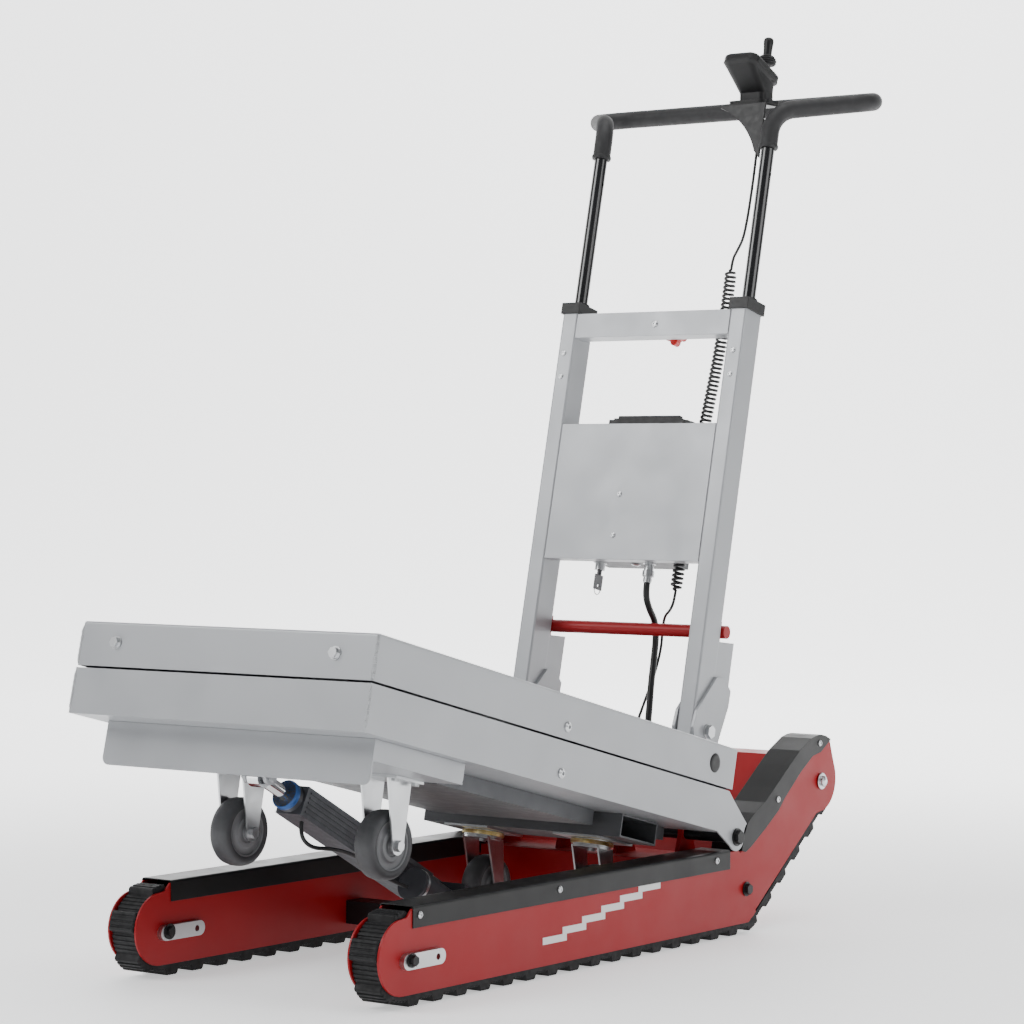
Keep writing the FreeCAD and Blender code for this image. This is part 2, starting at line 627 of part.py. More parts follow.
# caster mountings: front rigid forks and rear swivel tops
AV = -258.0
CT = g("caster_track")
FU = 249.6
mounts = []
for x in (-CT, CT):
    top = box(x - 44, x + 44, FU - 50, FU + 14, VC - 4.2, VC - 0.2)
    legs = []
    for s in (-1, 1):
        xa = x + s * 22.5
        x0, x1 = (xa, xa + 3) if s > 0 else (xa - 3, xa)
        leg = prism([(FU - 44, VC - 4.1), (FU + 10, VC - 4.1), (FU + 13, AV + 4), ("arc", (FU + 2, AV - 13), (FU - 12.5, AV + 4))], x0, x1)
        legs.append(leg)
    f = fused([top] + legs)
    mounts.append(f.cut(cyl((x - 40, FU, AV), (1, 0, 0), 5.05, 80)))
    mounts.append(fused([cyl((x - 29, FU, AV), (1, 0, 0), 5.0, 58), hexagon((x + 25.6, FU, AV), (1, 0, 0), 14, 6), hexagon((x - 25.6, FU, AV), (-1, 0, 0), 14, 6)]))
    for du in (-42, 6):
        for dx in (-36, 36):
            mounts.append(hexagon((x + dx, FU + du, VC - 4.25), (0, 0, -1), 10, 4))
RT, RU = g("rear_track"), 808.0
for x in (-RT, RT):
    top = fused([box(x - 42, x + 42, RU - 50, RU + 50, VB - 39.7, VB - 36.2), cyl((x, RU, VB - 39.6), (0, 0, -1), 30, 9.5)])
    mounts.append(fused([top, cyl((x, RU, VB - 48), (0, 0, -1), 6.0, 9.0)]))
group("caster_mounts", mounts, PF)

# casters
def wheel(label, x, u):
    w = g("caster_wide")
    r = g("caster_rad")
    pr = [(-w / 2, 8), (-w / 2, 20), (-w / 2 + 3, 22), (-w / 2 + 3, 33), (-w / 2, 35), (-w / 2, r - 8), (-w / 2 + 1.6, r - 4.4), (-w / 2 + 5, r - 1.8), (-w / 2 + 11, r - 0.4), (-w / 2 + 15, r),
          (w / 2 - 15, r), (w / 2 - 11, r - 0.4), (w / 2 - 5, r - 1.8), (w / 2 - 1.6, r - 4.4), (w / 2, r - 8), (w / 2, 35), (w / 2 - 3, 33), (w / 2 - 3, 22), (w / 2, 20), (w / 2, 8),
          (w / 2 + 4.5, 8), (w / 2 + 4.5, 5.06), (-w / 2 - 4.5, 5.06), (-w / 2 - 4.5, 8)]
    p = PF.multVec(V(x, u, AV))
    keep(turned(label, pr, Placement(p, Rotation(V(1, 0, 0), -g("tilt_deg")))))


TR = 28.0
wheel("left_front_wheel", CT, FU)
wheel("right_front_wheel", -CT, FU)
wheel("left_rear_wheel", RT, RU + TR)
wheel("right_rear_wheel", -RT, RU + TR)
for side_name, x in (("left", RT), ("right", -RT)):
    ft = VB - 49.5
    top = cyl((x, RU, ft), (0, 0, -1), 29, 3.5)
    legs = []
    for s in (-1, 1):
        xa = x + s * 22.5
        x0, x1 = (xa, xa + 3) if s > 0 else (xa - 3, xa)
        legs.append(prism([(RU - 20, ft - 0.5), (RU + 22, ft - 0.5), (RU + TR + 13, AV + 2), ("arc", (RU + TR, AV - 13), (RU + TR - 13, AV + 2))], x0, x1))
    f = fused([top] + legs).cut(cyl((x, RU, ft + 5), (0, 0, -1), 6.08, 20)).cut(cyl((x - 40, RU + TR, AV), (1, 0, 0), 5.05, 80))
    bolt = fused([cyl((x - 29, RU + TR, AV), (1, 0, 0), 5.0, 58), hexagon((x + 25.6, RU + TR, AV), (1, 0, 0), 14, 6), hexagon((x - 25.6, RU + TR, AV), (-1, 0, 0), 14, 6)])
    group(side_name + "_rear_fork", [f, bolt], PF)

# brackets that carry the mast behind the deck
FOLD_S, FOLD_D = -6.0, 38.0
fold_pf = PF.inverse().multVec(MF.multVec(V(0, FOLD_D, FOLD_S)))
fu, fv = fold_pf.y, fold_pf.z
MH, UW, UD = g("mast_half"), g("up_wide"), g("up_deep")
x_in, x_out = MH - UW, MH
brackets = []
for sx in (1, -1):
    cheeks = []
    for x0 in (x_in - 5.4, x_out + 0.4):
        a, b_ = (x0, x0 + 5) if sx > 0 else (-x0 - 5, -x0)
        cheeks.append(prism([(978, 119), (932, 57.5), (927, 30), (939, -2), (939, -116), (998, -116), (1006, 20), (1023, 78), (1024, 104), (1002, 121)], a, b_))
    a, b_ = (x_in - 5, x_out + 5) if sx > 0 else (-x_out - 5, -x_in + 5)
    cheeks.append(box(a, b_, 940, 999, -60, -54))
    cheeks.append(box(a, b_, 926, 940, -116, -72))
    c = fused(cheeks)
    brackets.append(c.cut(cyl((-260 if sx < 0 else 100, fu, fv), (1, 0, 0), 8.05, 160)))
group("fold_brackets", brackets, PF)

bolts = []
for s in (1, -1):
    for v in (-46.5, -114.3):
        bolts.append(button((s * (DH + 0.05), 463.1, v), (s, 0, 0), 7.5, 4.0))
    bolts.append(fused([cyl((s * 198.6, -0.05, -29.9), (0, -1, 0), 9.5, 1.6), hexagon((s * 198.6, -1.6, -29.9), (0, -1, 0), 13, 6)]))
    # fold bolt
    bolts.append(fused([cyl((s * (x_in - 7), fu, fv), (s, 0, 0), 8.0, 45), cyl((s * (x_out + 5.5), fu, fv), (s, 0, 0), 12, 1.6),
                        hexagon((s * (x_out + 7), fu, fv), (s, 0, 0), 19, 7), hexagon((s * (x_in - 5.5), fu, fv), (-s, 0, 0), 19, 6)]))
group("platform_bolts", bolts, PF)

# ------------------------------------------------------------------ mast (x, rearward, up the mast)
WL = g("up_wall")
TUBE_D = 27.0
MTOP = g("mast_top")
for side_name, sx in (("left", 1), ("right", -1)):
    b = new_body(side_name + "_upright", MF)
    a, c = (x_in, x_out) if sx > 0 else (-x_out, -x_in)
    sk = draw(b, "XY_Plane", side_name + "_section", [(a, 0), (c, 0), (c, UD), (a, UD)], offset=-30)
    pad(b, sk, MTOP - 2 + 30, name=side_name + "_stock")
    doc.recompute()
    es = ["Edge%d" % (i + 1) for i, e in enumerate(b.Tip.Shape.Edges)
          if abs(e.Vertexes[0].Point.x - e.Vertexes[1].Point.x) < 1e-3 and abs(e.Vertexes[0].Point.y - e.Vertexes[1].Point.y) < 1e-3]
    tip = b.Tip
    fl = b.newObject("PartDesign::Fillet", side_name + "_corners")
    fl.Base = (tip, es)
    fl.Radius = 3.5
    doc.recompute()
    v0 = b.Shape.Volume
    sk = draw(b, "XY_Plane", side_name + "_inside", [(a + WL, WL), (c - WL, WL), (c - WL, UD - WL), (a + WL, UD - WL)], offset=30)
    pocket(b, sk, MTOP + 10, reverse=True, name=side_name + "_hollow")
    doc.recompute()
    assert b.Shape.Volume < 0.6 * v0, "upright pocket"
    # lock housing on the rear face
    sk = draw(b, "YZ_Plane", side_name + "_lock", [(UD - 0.2, 142), (97, 148), (97, 46), (UD - 0.2, 46)], offset=a + 3)
    pad(b, sk, UW - 6, name=side_name + "_housing")
    doc.recompute()
    # bores: fold bolt and lock pin
    sk = b.newObject("Sketcher::SketchObject", side_name + "_fold_bore")
    sk.AttachmentSupport = (role(b, "YZ_Plane"), [""])
    sk.MapMode = "FlatFace"
    sk.AttachmentOffset = Placement(V(0, 0, a - 5), Rotation())
    sk.addGeometry(Part.Circle(V(FOLD_D, FOLD_S, 0), V(0, 0, 1), 8.05), False)
    pocket(b, sk, 40.0, reverse=True, name=side_name + "_fold_hole")
    doc.recompute()
    sk = b.newObject("Sketcher::SketchObject", side_name + "_pin_bore")
    sk.AttachmentSupport = (role(b, "XY_Plane"), [""])
    sk.MapMode = "FlatFace"
    sk.AttachmentOffset = Placement(V(0, 0, 170), Rotation())
    sk.addGeometry(Part.Circle(V((a + c) / 2, 62, 0), V(0, 0, 1), 5.6), False)
    pocket(b, sk, 106.0, reverse=False, name=side_name + "_pin_hole")
    doc.recompute()
    keep(b)

bars = doc.addObject("Part::Box", "crossbar_box")
bars.setExpression("Length", "2 * (Sizes.mast_half - Sizes.up_wide) - 0.2")
bars.Width = 27.0
bars.Height = 41.5
bars.Placement = Placement(V(-(x_in - 0.1), 0.8, 642.0), Rotation())
inner = doc.addObject("Part::Box", "crossbar_void")
inner.Length = 320
inner.Width = 22.0
inner.Height = 36.5
inner.Placement = Placement(V(-160, 3.3, 644.5), Rotation())
cb = doc.addObject("Part::Cut", "top_crossbar")
cb.Base, cb.Tool = bars, inner
cb.Placement = MF
keep(cb, "top_crossbar")

fp = new_body("front_panel", MF)
pf_x = x_in - 0.2
sk = draw(fp, "XZ_Plane", "panel_outline", [(-pf_x, 263.3), (pf_x, 263.3), (pf_x, 492.5), (-pf_x, 492.5)], offset=-1.0)
pad(fp, sk, 2.0, reverse=True, name="panel_sheet")
doc.recompute()
sk = draw(fp, "XY_Plane", "panel_flange", [(-pf_x, 2.9), (pf_x, 2.9), (pf_x, 22), (-pf_x, 22)], offset=490.5)
pad(fp, sk, 2.0, name="flange_top")
sk = draw(fp, "XY_Plane", "panel_flange_low", [(-pf_x, 2.9), (pf_x, 2.9), (pf_x, 22), (-pf_x, 22)], offset=263.3)
pad(fp, sk, 2.0, name="flange_low")
doc.recompute()
keep(fp)

cbx = box(-78, 78, 3.2, 88, 266, 489).cut(box(-75.5, 75.5, 5.7, 85.5, 268.5, 500))
cbx = cbx.cut(box(-79, 79, 3, 23, 265, 266.2))
group("control_box", [cbx], MF)
pack = fused([box(-74, 74, 24, 84, 360, 505), box(-60, 60, 30, 40, 504.9, 513), box(-60, 60, 68, 78, 504.9, 513), box(-66, 66, 26, 82, 504.9, 508)])
pack = pack.cut(box(-74.1, 74.1, 23, 24.2, 488, 493))
group("battery_pack", [pack], MF)

caps = []
for sx in (1, -1):
    cx = sx * (x_in + x_out) / 2
    c = box(cx - 18, cx + 18, -2.5, UD + 2.5, MTOP - 4, MTOP + 15)
    c = c.cut(box(cx - UW / 2 - 0.1, cx + UW / 2 + 0.1, -0.1, UD + 0.1, MTOP - 5, MTOP - 2))
    c = c.cut(box(cx - sx * 18 - 20 if sx > 0 else cx + 15.1, cx - 15.1 if sx > 0 else cx + 40, 0.5, 28.2, MTOP - 5, MTOP - 1.9))
    caps.append(c.cut(cyl((cx, TUBE_D, MTOP - 10), (0, 0, 1), g("tube_rad") + 0.06, 40)))
group("upright_caps", caps, MF)

TX = (x_in + x_out) / 2
fit = []
for x, s in ((-168, 615.5), (-168, 575), (165.5, 614), (165.5, 574)):
    fit.append(button((x, -0.05, s), (0, -1, 0), 4.5, 2.6))
fit.append(button((7, 0.75, 661.9), (0, -1, 0), 5.5, 3.0))
fit.append(button((-18, 0.95, 373), (0, -1, 0), 4.5, 2.6))
fit.append(button((-20, 0.95, 304), (0, -1, 0), 4.5, 2.6))
CONN = (37.0, 34.0)
fit.append(fused([cyl((CONN[0], CONN[1], 265.9), (0, 0, -1), 11, 3), cyl((CONN[0], CONN[1], 263), (0, 0, -1), 8, 22), cyl((CONN[0], CONN[1], 252), (0, 0, -1), 9.5, 9), cyl((CONN[0], CONN[1], 243.2), (0, 0, -1), 6.8, 11.2)]))
KEYX, KEYD = -62.0, 38.0
lock = fused([cyl((KEYX, KEYD, 265.9), (0, 0, -1), 11, 3.0), cyl((KEYX, KEYD, 263), (0, 0, -1), 8.5, 11)])
fit.append(lock.cut(cyl((KEYX, KEYD, 252.5), (0, 0, -1), 5.5, 3)).cut(cyl((KEYX, KEYD, 240), (0, 0, 1), 4.06, 16)))
fit.append(fused([cyl((88.5, 40, 267), (0, 0, -1), 7, 4)]).common(box(78.2, 96, 22.5, 50, 255, 264.9)) if False else button((0, 50, 265.9), (0, 0, -1), 8, 3))
group("mast_fittings", fit, MF)
key = fused([cyl((KEYX, KEYD, 255.6), (0, 0, -1), 4.0, 12.0), box(KEYX - 1.2, KEYX + 1.2, KEYD - 11, KEYD + 11, 219, 244)])
key = key.cut(cyl((KEYX - 5, KEYD, 226), (1, 0, 0), 3, 10))
group("key", [key], MF)

# emergency stop knob with five lobes, on the rear of the crossbar
KN = (22.0, 655.0)
lobes = [Part.makeCylinder(13, 12)]
for i in range(5):
    a = math.radians(90 + 72 * i)
    lobes.append(Part.makeCylinder(6.5, 12, V(12.5 * math.cos(a), 12.5 * math.sin(a), 0)))
kb = fused(lobes + [Part.makeCylinder(5.94, 17.5, V(0, 0, -17.4))])
kb.Placement = Placement(V(KN[0], 40.5, KN[1]), Rotation(V(0, 0, 1), V(0, 1, 0)))
group("stop_knob", [kb], MF)
sock = fused([cyl((KN[0], 27.85, KN[1]), (0, 1, 0), 9.0, 7.0)])
cut_c = cyl((KN[0], 20, KN[1]), (0, 1, 0), 6.0, 30)
cb_tool = doc.addObject("Part::Cylinder", "stop_bore")
cb_tool.Radius = 6.0
cb_tool.Height = 12
cb_tool.Placement = Placement(V(KN[0], 20, KN[1]), Rotation(V(0, 0, 1), V(0, 1, 0)))
cb2 = doc.addObject("Part::Cut", "top_crossbar_bored")
cb.Placement = Placement()
cb2.Base, cb2.Tool = cb, cb_tool
cb2.Placement = MF
nodes[nodes.index(cb)] = cb2
cb.Label = "crossbar_section"
cb2.Label = "top_crossbar"

# release bar with its two lock pins
BD, BS = 62.0, 160.0
rb = [cyl((-184, BD, BS), (1, 0, 0), g("bar_rad"), 368)]
for sx in (1, -1):
    rb.append(cyl((sx * (x_in + x_out) / 2, BD, BS), (0, 0, -1), 5.5, 88))
    rb.append(hexagon((sx * (x_in + x_out) / 2, BD, BS + 9), (0, 0, 1), 11, 8))
group("release_bar", [fused(rb)], MF)

# ------------------------------------------------------------------ handle
def mast(x, d, s):
    return MF.multVec(V(x, d, s))


def W(p):
    return (p.x, p.y, p.z)


E_S = 1029.5
e0 = mast(TX, TUBE_D, E_S)
y_rear = 1280.0 - SH
rise = 0.158
XV = 317.0
v0 = V(XV, y_rear, e0.z + rise * (y_rear - e0.y))
base_in = mast(TX, TUBE_D, 420.0)
grip_in = mast(TX, TUBE_D, 967.0)


def mir(v):
    return V(-v.x, v.y, v.z)


def handle_wire(start):
    P = [start, e0, v0, mir(v0), mir(e0), mir(start)]
    R = [50.0, 45.0, 45.0, 50.0]
    out, last = [], P[0]
    for i in range(1, 5):
        a, b_, c = P[i - 1], P[i], P[i + 1]
        u = (b_ - a).normalize()
        w = (c - b_).normalize()
        turn = u.getAngle(w)
        t = R[i - 1] * math.tan(turn / 2)
        s, e = b_ - u * t, b_ + w * t
        md = (w - u).normalize()
        cen = b_ + md * (R[i - 1] / math.cos(turn / 2))
        m = cen - md * R[i - 1]
        out.append(Part.LineSegment(last, s).toShape())
        out.append(Part.Arc(s, m, e).toShape())
        last = e
    out.append(Part.LineSegment(last, P[-1]).toShape())
    return Part.Wire(out)


def handle_pipe(start, rad):
    w = handle_wire(start)
    d = e0 - start
    s = w.makePipeShell([Part.Wire(Part.makeCircle(rad, start, d))], True, False)
    want = math.pi * rad * rad * w.Length
    assert s.isValid() and abs(s.Volume - want) < 0.02 * want, "handle pipe"
    return s


tubes = handle_pipe(base_in, g("tube_rad"))
for sx in (1, -1):
    p = mast(sx * TX - 20, TUBE_D, 920)
    tubes = tubes.cut(Part.makeCylinder(3.0, 40, p, V(1, 0, 0)))
group("handle_tubes", [tubes])
grip = handle_pipe(grip_in, g("grip_rad")).cut(handle_pipe(mast(TX, TUBE_D, 960.0), g("tube_rad") + 0.02))
group("handle_grip", [grip])

# joystick bracket: gusset with a folded top, inside the left tube
gus = plate_xz([(150.7, 950), (150.7, 1046), (66, 1046), (64, 1041), ("arc", (112, 1008), (140, 962))], TUBE_D - 2, TUBE_D + 2)
brk = gus.copy()
brk.Placement = MF.multiply(brk.Placement)
POD = (108.0, 1129.0 - SH)
ztop = mast(108, TUBE_D, 1048).z
shelf = box(72, 144, POD[1] - 35, POD[1] + 24, ztop - 4.0, ztop - 0.5)
brk = fused([brk, shelf])
# clear the grip elbow
brk = brk.cut(handle_pipe(base_in, g("grip_rad") + 0.02))
brk = max(brk.Solids, key=lambda s: s.Volume)
group("joystick_bracket", [brk])


def rrect(cx, cy, w, l, r, z):
    """Rounded rectangle wire about (cx, cy) at height z."""
    x0, x1, y0, y1 = cx - w / 2, cx + w / 2, cy - l / 2, cy + l / 2
    k = r * (1 - math.sqrt(0.5))
    e = [Part.LineSegment(V(x0 + r, y0, z), V(x1 - r, y0, z)).toShape(), Part.Arc(V(x1 - r, y0, z), V(x1 - k, y0 + k, z), V(x1, y0 + r, z)).toShape(),
         Part.LineSegment(V(x1, y0 + r, z), V(x1, y1 - r, z)).toShape(), Part.Arc(V(x1, y1 - r, z), V(x1 - k, y1 - k, z), V(x1 - r, y1, z)).toShape(),
         Part.LineSegment(V(x1 - r, y1, z), V(x0 + r, y1, z)).toShape(), Part.Arc(V(x0 + r, y1, z), V(x0 + k, y1 - k, z), V(x0, y1 - r, z)).toShape(),
         Part.LineSegment(V(x0, y1 - r, z), V(x0, y0 + r, z)).toShape(), Part.Arc(V(x0, y0 + r, z), V(x0 + k, y0 + k, z), V(x0 + r, y0, z)).toShape()]
    return Part.Wire(e)


PTILT = 24.3                   # slope of the head
STILT = 10.0                   # lean of the stick
zf = ztop - 0.4
flange = Part.Face(rrect(POD[0], POD[1], 74, 58, 14, zf)).extrude(V(0, 0, 6))
head_c = V(POD[0], POD[1] - 7.2, zf + 64.6)


def tilted(w, z):
    w = w.copy()
    w.Placement = Placement(head_c, Rotation(V(1, 0, 0), -PTILT)).multiply(Placement(V(0, 0, z), Rotation()))
    return w


rim_low = tilted(rrect(0, 0, 58, 83, 13, 0), -19.0)
rim_lo = tilted(rrect(0, 0, 65.6, 91.4, 15, 0), -14.0)
rim_hi = tilted(rrect(0, 0, 65.6, 91.4, 15, 0), -3.0)
rim_top = tilted(rrect(0, 0, 60, 86, 13, 0), 0.0)
neck_lo = rrect(POD[0], POD[1] + 6.3, 49, 38, 9, zf + 6)
neck_hi = rrect(POD[0], POD[1] + 6.3, 49, 38, 9, zf + 20)
loft = fused([Part.makeLoft([neck_lo, neck_hi], True, True), Part.makeLoft([neck_hi, rim_low], True, True), Part.makeLoft([rim_low, rim_lo], True, True),
              Part.makeLoft([rim_lo, rim_hi], True, True), Part.makeLoft([rim_hi, rim_top], True, True)])
pod = fused([flange, loft])
ax = Rotation(V(1, 0, 0), -STILT).multVec(V(0, 0, 1))
ay = Rotation(V(1, 0, 0), -STILT).multVec(V(0, 1, 0))
STK = head_c + Rotation(V(1, 0, 0), -PTILT).multVec(V(14.0, 22.0, 0))
# well for the gimbal
pod = pod.cut(Part.makeCylinder(17.0, 29.0, STK - ax * 17.0, ax))
group("joystick_pod", [pod])
GB = STK - ax * 2.0
gim = Part.makeCylinder(14.0, 6.0, GB - ax * 3.0, ax).cut(Part.makeCylinder(9.0, 10.0, GB - ax * 5.0, ax))
stub = Part.makeCylinder(2.0, 33.6, GB - V(1, 0, 0) * 16.8, V(1, 0, 0)).cut(Part.makeCylinder(12.0, 10.0, GB - ax * 5.0, ax))
group("joystick_gimbal", [fused([gim, stub])])
st = [Part.makeSphere(6.0, GB), Part.makeCylinder(3.5, 22.0, GB, ax), Part.makeCone(7.2, 8.3, 25.0, GB + ax * 28.5, ax),
      Part.makeSphere(8.3, GB + ax * 53.5)]
gait = []
for zz, rr in ((12.8, 14.2), (17.2, 15.6), (21.6, 16.4), (26.0, 12.0)):
    gait.append(Part.makeCone(rr - 1.5, rr, 2.3, GB + ax * zz, ax))
    gait.append(Part.makeCone(rr, rr - 1.5, 2.3, GB + ax * (zz + 2.25), ax))
gait.append(Part.makeCylinder(1.8, 17.6, GB - ay * 8.8, ay))
group("joystick_stick", [fused(st + gait)])

# ------------------------------------------------------------------ actuator
EYE = PF.multVec(V(0, EU, EV))
TL = V(0, TAIL[0] - SH, TAIL[1])
axis = (EYE - TL)
reach = axis.Length
axis.normalize()
side_n = V(0, -axis.z, axis.y)
if side_n.z < 0:
    side_n = side_n * -1
AF = Placement(FreeCAD.Matrix(1, 0, 0, TL.x, 0, side_n.y, axis.y, TL.y, 0, side_n.z, axis.z, TL.z, 0, 0, 0, 1))
print("actuator reach", round(reach, 2), "eye", W(EYE), "tail", W(TL))


def along(k, h=0.0):
    return TL + axis * k + side_n * h


UPZ = (0, 0, 1)
act = fused([box(-23, 23, -22, 21, 60, reach - 82), cyl((0, 0, reach - 84), UPZ, 19.5, 22), cyl((0, 0, reach - 78), UPZ, 21.5, 10),
             cyl((0, 0, 16), UPZ, 26, 50), cyl((0, 0, -12), UPZ, 13, 30), cyl((58, -26, 34), UPZ, 25, 112), box(8, 82, -48, 12, 18, 54)])
act = act.cut(box(30, 60, -14, 14, -20, 13)).cut(box(-60, -30, -14, 14, -20, 13))
act = act.cut(cyl((-40, 0, 0), (1, 0, 0), 6.06, 80)).cut(cyl((0, 0, 78), UPZ, 10.06, reach))
group("actuator_body", [act], AF)
arod = fused([cyl((0, 0, 126), UPZ, 10.0, reach - 136), cyl((-10, 0, reach), (1, 0, 0), 15.5, 20)])
arod = arod.cut(cyl((-20, 0, reach), (1, 0, 0), 10.3, 40))
group("actuator_rod", [arod], AF)

# ------------------------------------------------------------------ cords
lead_top = [W(mast(138, 40, 1046)), W(mast(139, 37, 1018)), W(mast(139.5, 34.5, 983)), W(mast(140, 35, 938)), W(mast(138.5, 37, 893)), W(mast(136, 39, 850)), W(mast(131, 42, 816)), W(mast(121, 45, 798)), W(mast(112.19, 46.9, 783)), W(mast(112, 47.5, 767))]
group("joystick_lead_upper", [tube(lead_top, g("lead_rad"), report="joystick_lead_upper")])
coil = [W(mast(112, 47.5, 767)), W(mast(111.2, 50, 700)), W(mast(108, 50, 620)), W(mast(103, 48, 540)), W(mast(98.5, 44, 460)), W(mast(95.5, 40, 380)), W(mast(93.5, 38, 300)), W(mast(89, 42, 220))]
group("joystick_curl", [tube(coil, g("coil_rad"), report="joystick_curl")])
lead_low = [W(mast(89, 42, 220)), W(mast(88.1, 42.8, 204)), W(mast(78, 50, 190)), W(mast(60, 64, 184)), W(mast(46, 84, 166)), W(mast(38, 100, 134)), W(mast(26, 108, 92)), W(mast(12, 110, 46)), W(mast(2, 108, 2)),
            (-4.0, 938 - SH, 262.0), (-4.0, 937 - SH, 220.0), (-4.0, 934 - SH, GL2[2] + 6)]
group("joystick_lead_lower", [tube(lead_low, g("lead_rad"), report="joystick_lead_lower")])
power = [W(mast(37, 34, 232)), W(mast(37, 34, 212)), W(mast(36, 52, 192)), W(mast(34, 76, 178)), W(mast(33, 88, 152)), W(mast(33, 90, 112)), W(mast(35, 88, 74)), W(mast(38, 88, 36)), W(mast(38, 90, 2)), (36.0, 932 - SH, 266.0), (32.0, 936 - SH, 228.0), (30.0, 934 - SH, GL1[2] + 7)]
group("power_cable", [tube(power, g("power_rad"), report="power_cable")])
ACX = 34.0
ac = [W(along(reach - 100, -26) + V(14, 0, 0)), W(along(reach - 100, -46) + V(18, 0, 0)), W(along(reach - 122, -56) + V(26, 0, 0)), W(along(reach - 152, -44) + V(34, 0, 0)), W(along(reach - 190, -34) + V(36, 0, 0)),
      W(along(reach - 236, -30) + V(38, 0, 0)), W(along(reach - 280, -38) + V(44, 0, 0)), W(along(152, -34) + V(56, 0, 0))]
group("actuator_cable", [tube(ac, 3.0, report="actuator_cable")])

# ------------------------------------------------------------------ checks and files
doc.recompute()
bad = []
for o in doc.Objects:
    if any(word in ("Invalid", "Error") for word in o.State):
        bad.append(o.Name)
for o in nodes:
    if o.Shape.isNull() or not o.Shape.isValid() or o.Shape.Volume <= 0:
        bad.append(o.Label + " shape")
assert not bad, bad
assert len(nodes) <= 60, len(nodes)
assert len(set(o.Label for o in nodes)) == len(nodes)
os.makedirs("parts", exist_ok=True)
lo = V(1e9, 1e9, 1e9)
hi = V(-1e9, -1e9, -1e9)
for o in nodes:
    o.Shape.exportStep(os.path.join("parts", o.Label + ".step"))
    bb = o.Shape.BoundBox
    if "lead" in o.Label or "curl" in o.Label or "cable" in o.Label:
        continue
    lo = V(min(lo.x, bb.XMin), min(lo.y, bb.YMin), min(lo.z, bb.ZMin))
    hi = V(max(hi.x, bb.XMax), max(hi.y, bb.YMax), max(hi.z, bb.ZMax))
print("nodes", len(nodes), "low", tuple(round(c, 2) for c in lo), "high", tuple(round(c, 2) for c in hi))
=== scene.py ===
import bpy
import json
import math
from mathutils import Vector, Matrix


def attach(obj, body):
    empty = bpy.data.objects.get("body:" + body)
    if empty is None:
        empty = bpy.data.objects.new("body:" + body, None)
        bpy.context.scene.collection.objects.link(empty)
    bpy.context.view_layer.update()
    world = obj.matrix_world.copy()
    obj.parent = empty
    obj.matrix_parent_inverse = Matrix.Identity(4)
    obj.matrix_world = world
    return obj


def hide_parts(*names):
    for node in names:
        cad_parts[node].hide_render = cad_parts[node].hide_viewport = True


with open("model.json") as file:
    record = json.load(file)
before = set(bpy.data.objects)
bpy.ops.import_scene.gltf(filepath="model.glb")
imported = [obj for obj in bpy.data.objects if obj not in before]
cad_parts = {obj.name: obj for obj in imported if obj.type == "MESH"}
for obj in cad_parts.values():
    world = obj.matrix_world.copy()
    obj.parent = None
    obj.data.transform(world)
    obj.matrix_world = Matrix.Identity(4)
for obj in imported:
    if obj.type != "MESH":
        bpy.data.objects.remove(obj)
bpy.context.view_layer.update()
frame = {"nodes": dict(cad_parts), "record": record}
REC = frame["record"]
NODES = frame["nodes"]
scene = bpy.context.scene

# ------------------------------------------------------------------ camera
YAW, PITCH, ROLL = math.radians(35.70), math.radians(-0.57), math.radians(0.33)
fwd = Vector((-math.sin(YAW) * math.cos(PITCH), math.cos(YAW) * math.cos(PITCH), math.sin(PITCH)))
right = Vector((math.cos(YAW), math.sin(YAW), 0))
upv = right.cross(fwd)
r2 = right * math.cos(ROLL) + upv * math.sin(ROLL)
u2 = -right * math.sin(ROLL) + upv * math.cos(ROLL)
cam_data = bpy.data.cameras.new("camera")
cam_data.sensor_width = 36.0
cam_data.lens = 108.77
cam_data.clip_end = 60.0
cam = bpy.data.objects.new("camera", cam_data)
scene.collection.objects.link(cam)
m = Matrix.Identity(4)
for i in range(3):
    m[i][0], m[i][1], m[i][2] = r2[i], u2[i], -fwd[i]
m[0][3], m[1][3], m[2][3] = 2.80592, -3.90716, 0.71639
cam.matrix_world = m
scene.camera = cam

# ------------------------------------------------------------------ frames of the object, in millimetres
SH = 593.7
T = math.radians(13.32)
M = math.radians(13.07)


def pf(x, u, v):
    return Vector((x, -81.41 - SH + u * math.cos(T) + v * math.sin(T), 514.113 - u * math.sin(T) + v * math.cos(T))) / 1000


def mast(x, d, s):
    return Vector((x, 833.384 - SH + s * math.sin(M) + d * math.cos(M), 333.303 + s * math.cos(M) - d * math.sin(M))) / 1000


def ch(x, y, z):
    return Vector((x, y - SH, z)) / 1000


U_DIR, V_DIR = Vector((0, math.cos(T), -math.sin(T))), Vector((0, math.sin(T), math.cos(T)))
D_DIR, S_DIR = Vector((0, math.cos(M), -math.sin(M))), Vector((0, math.sin(M), math.cos(M)))
X_DIR = Vector((1, 0, 0))

# ------------------------------------------------------------------ materials


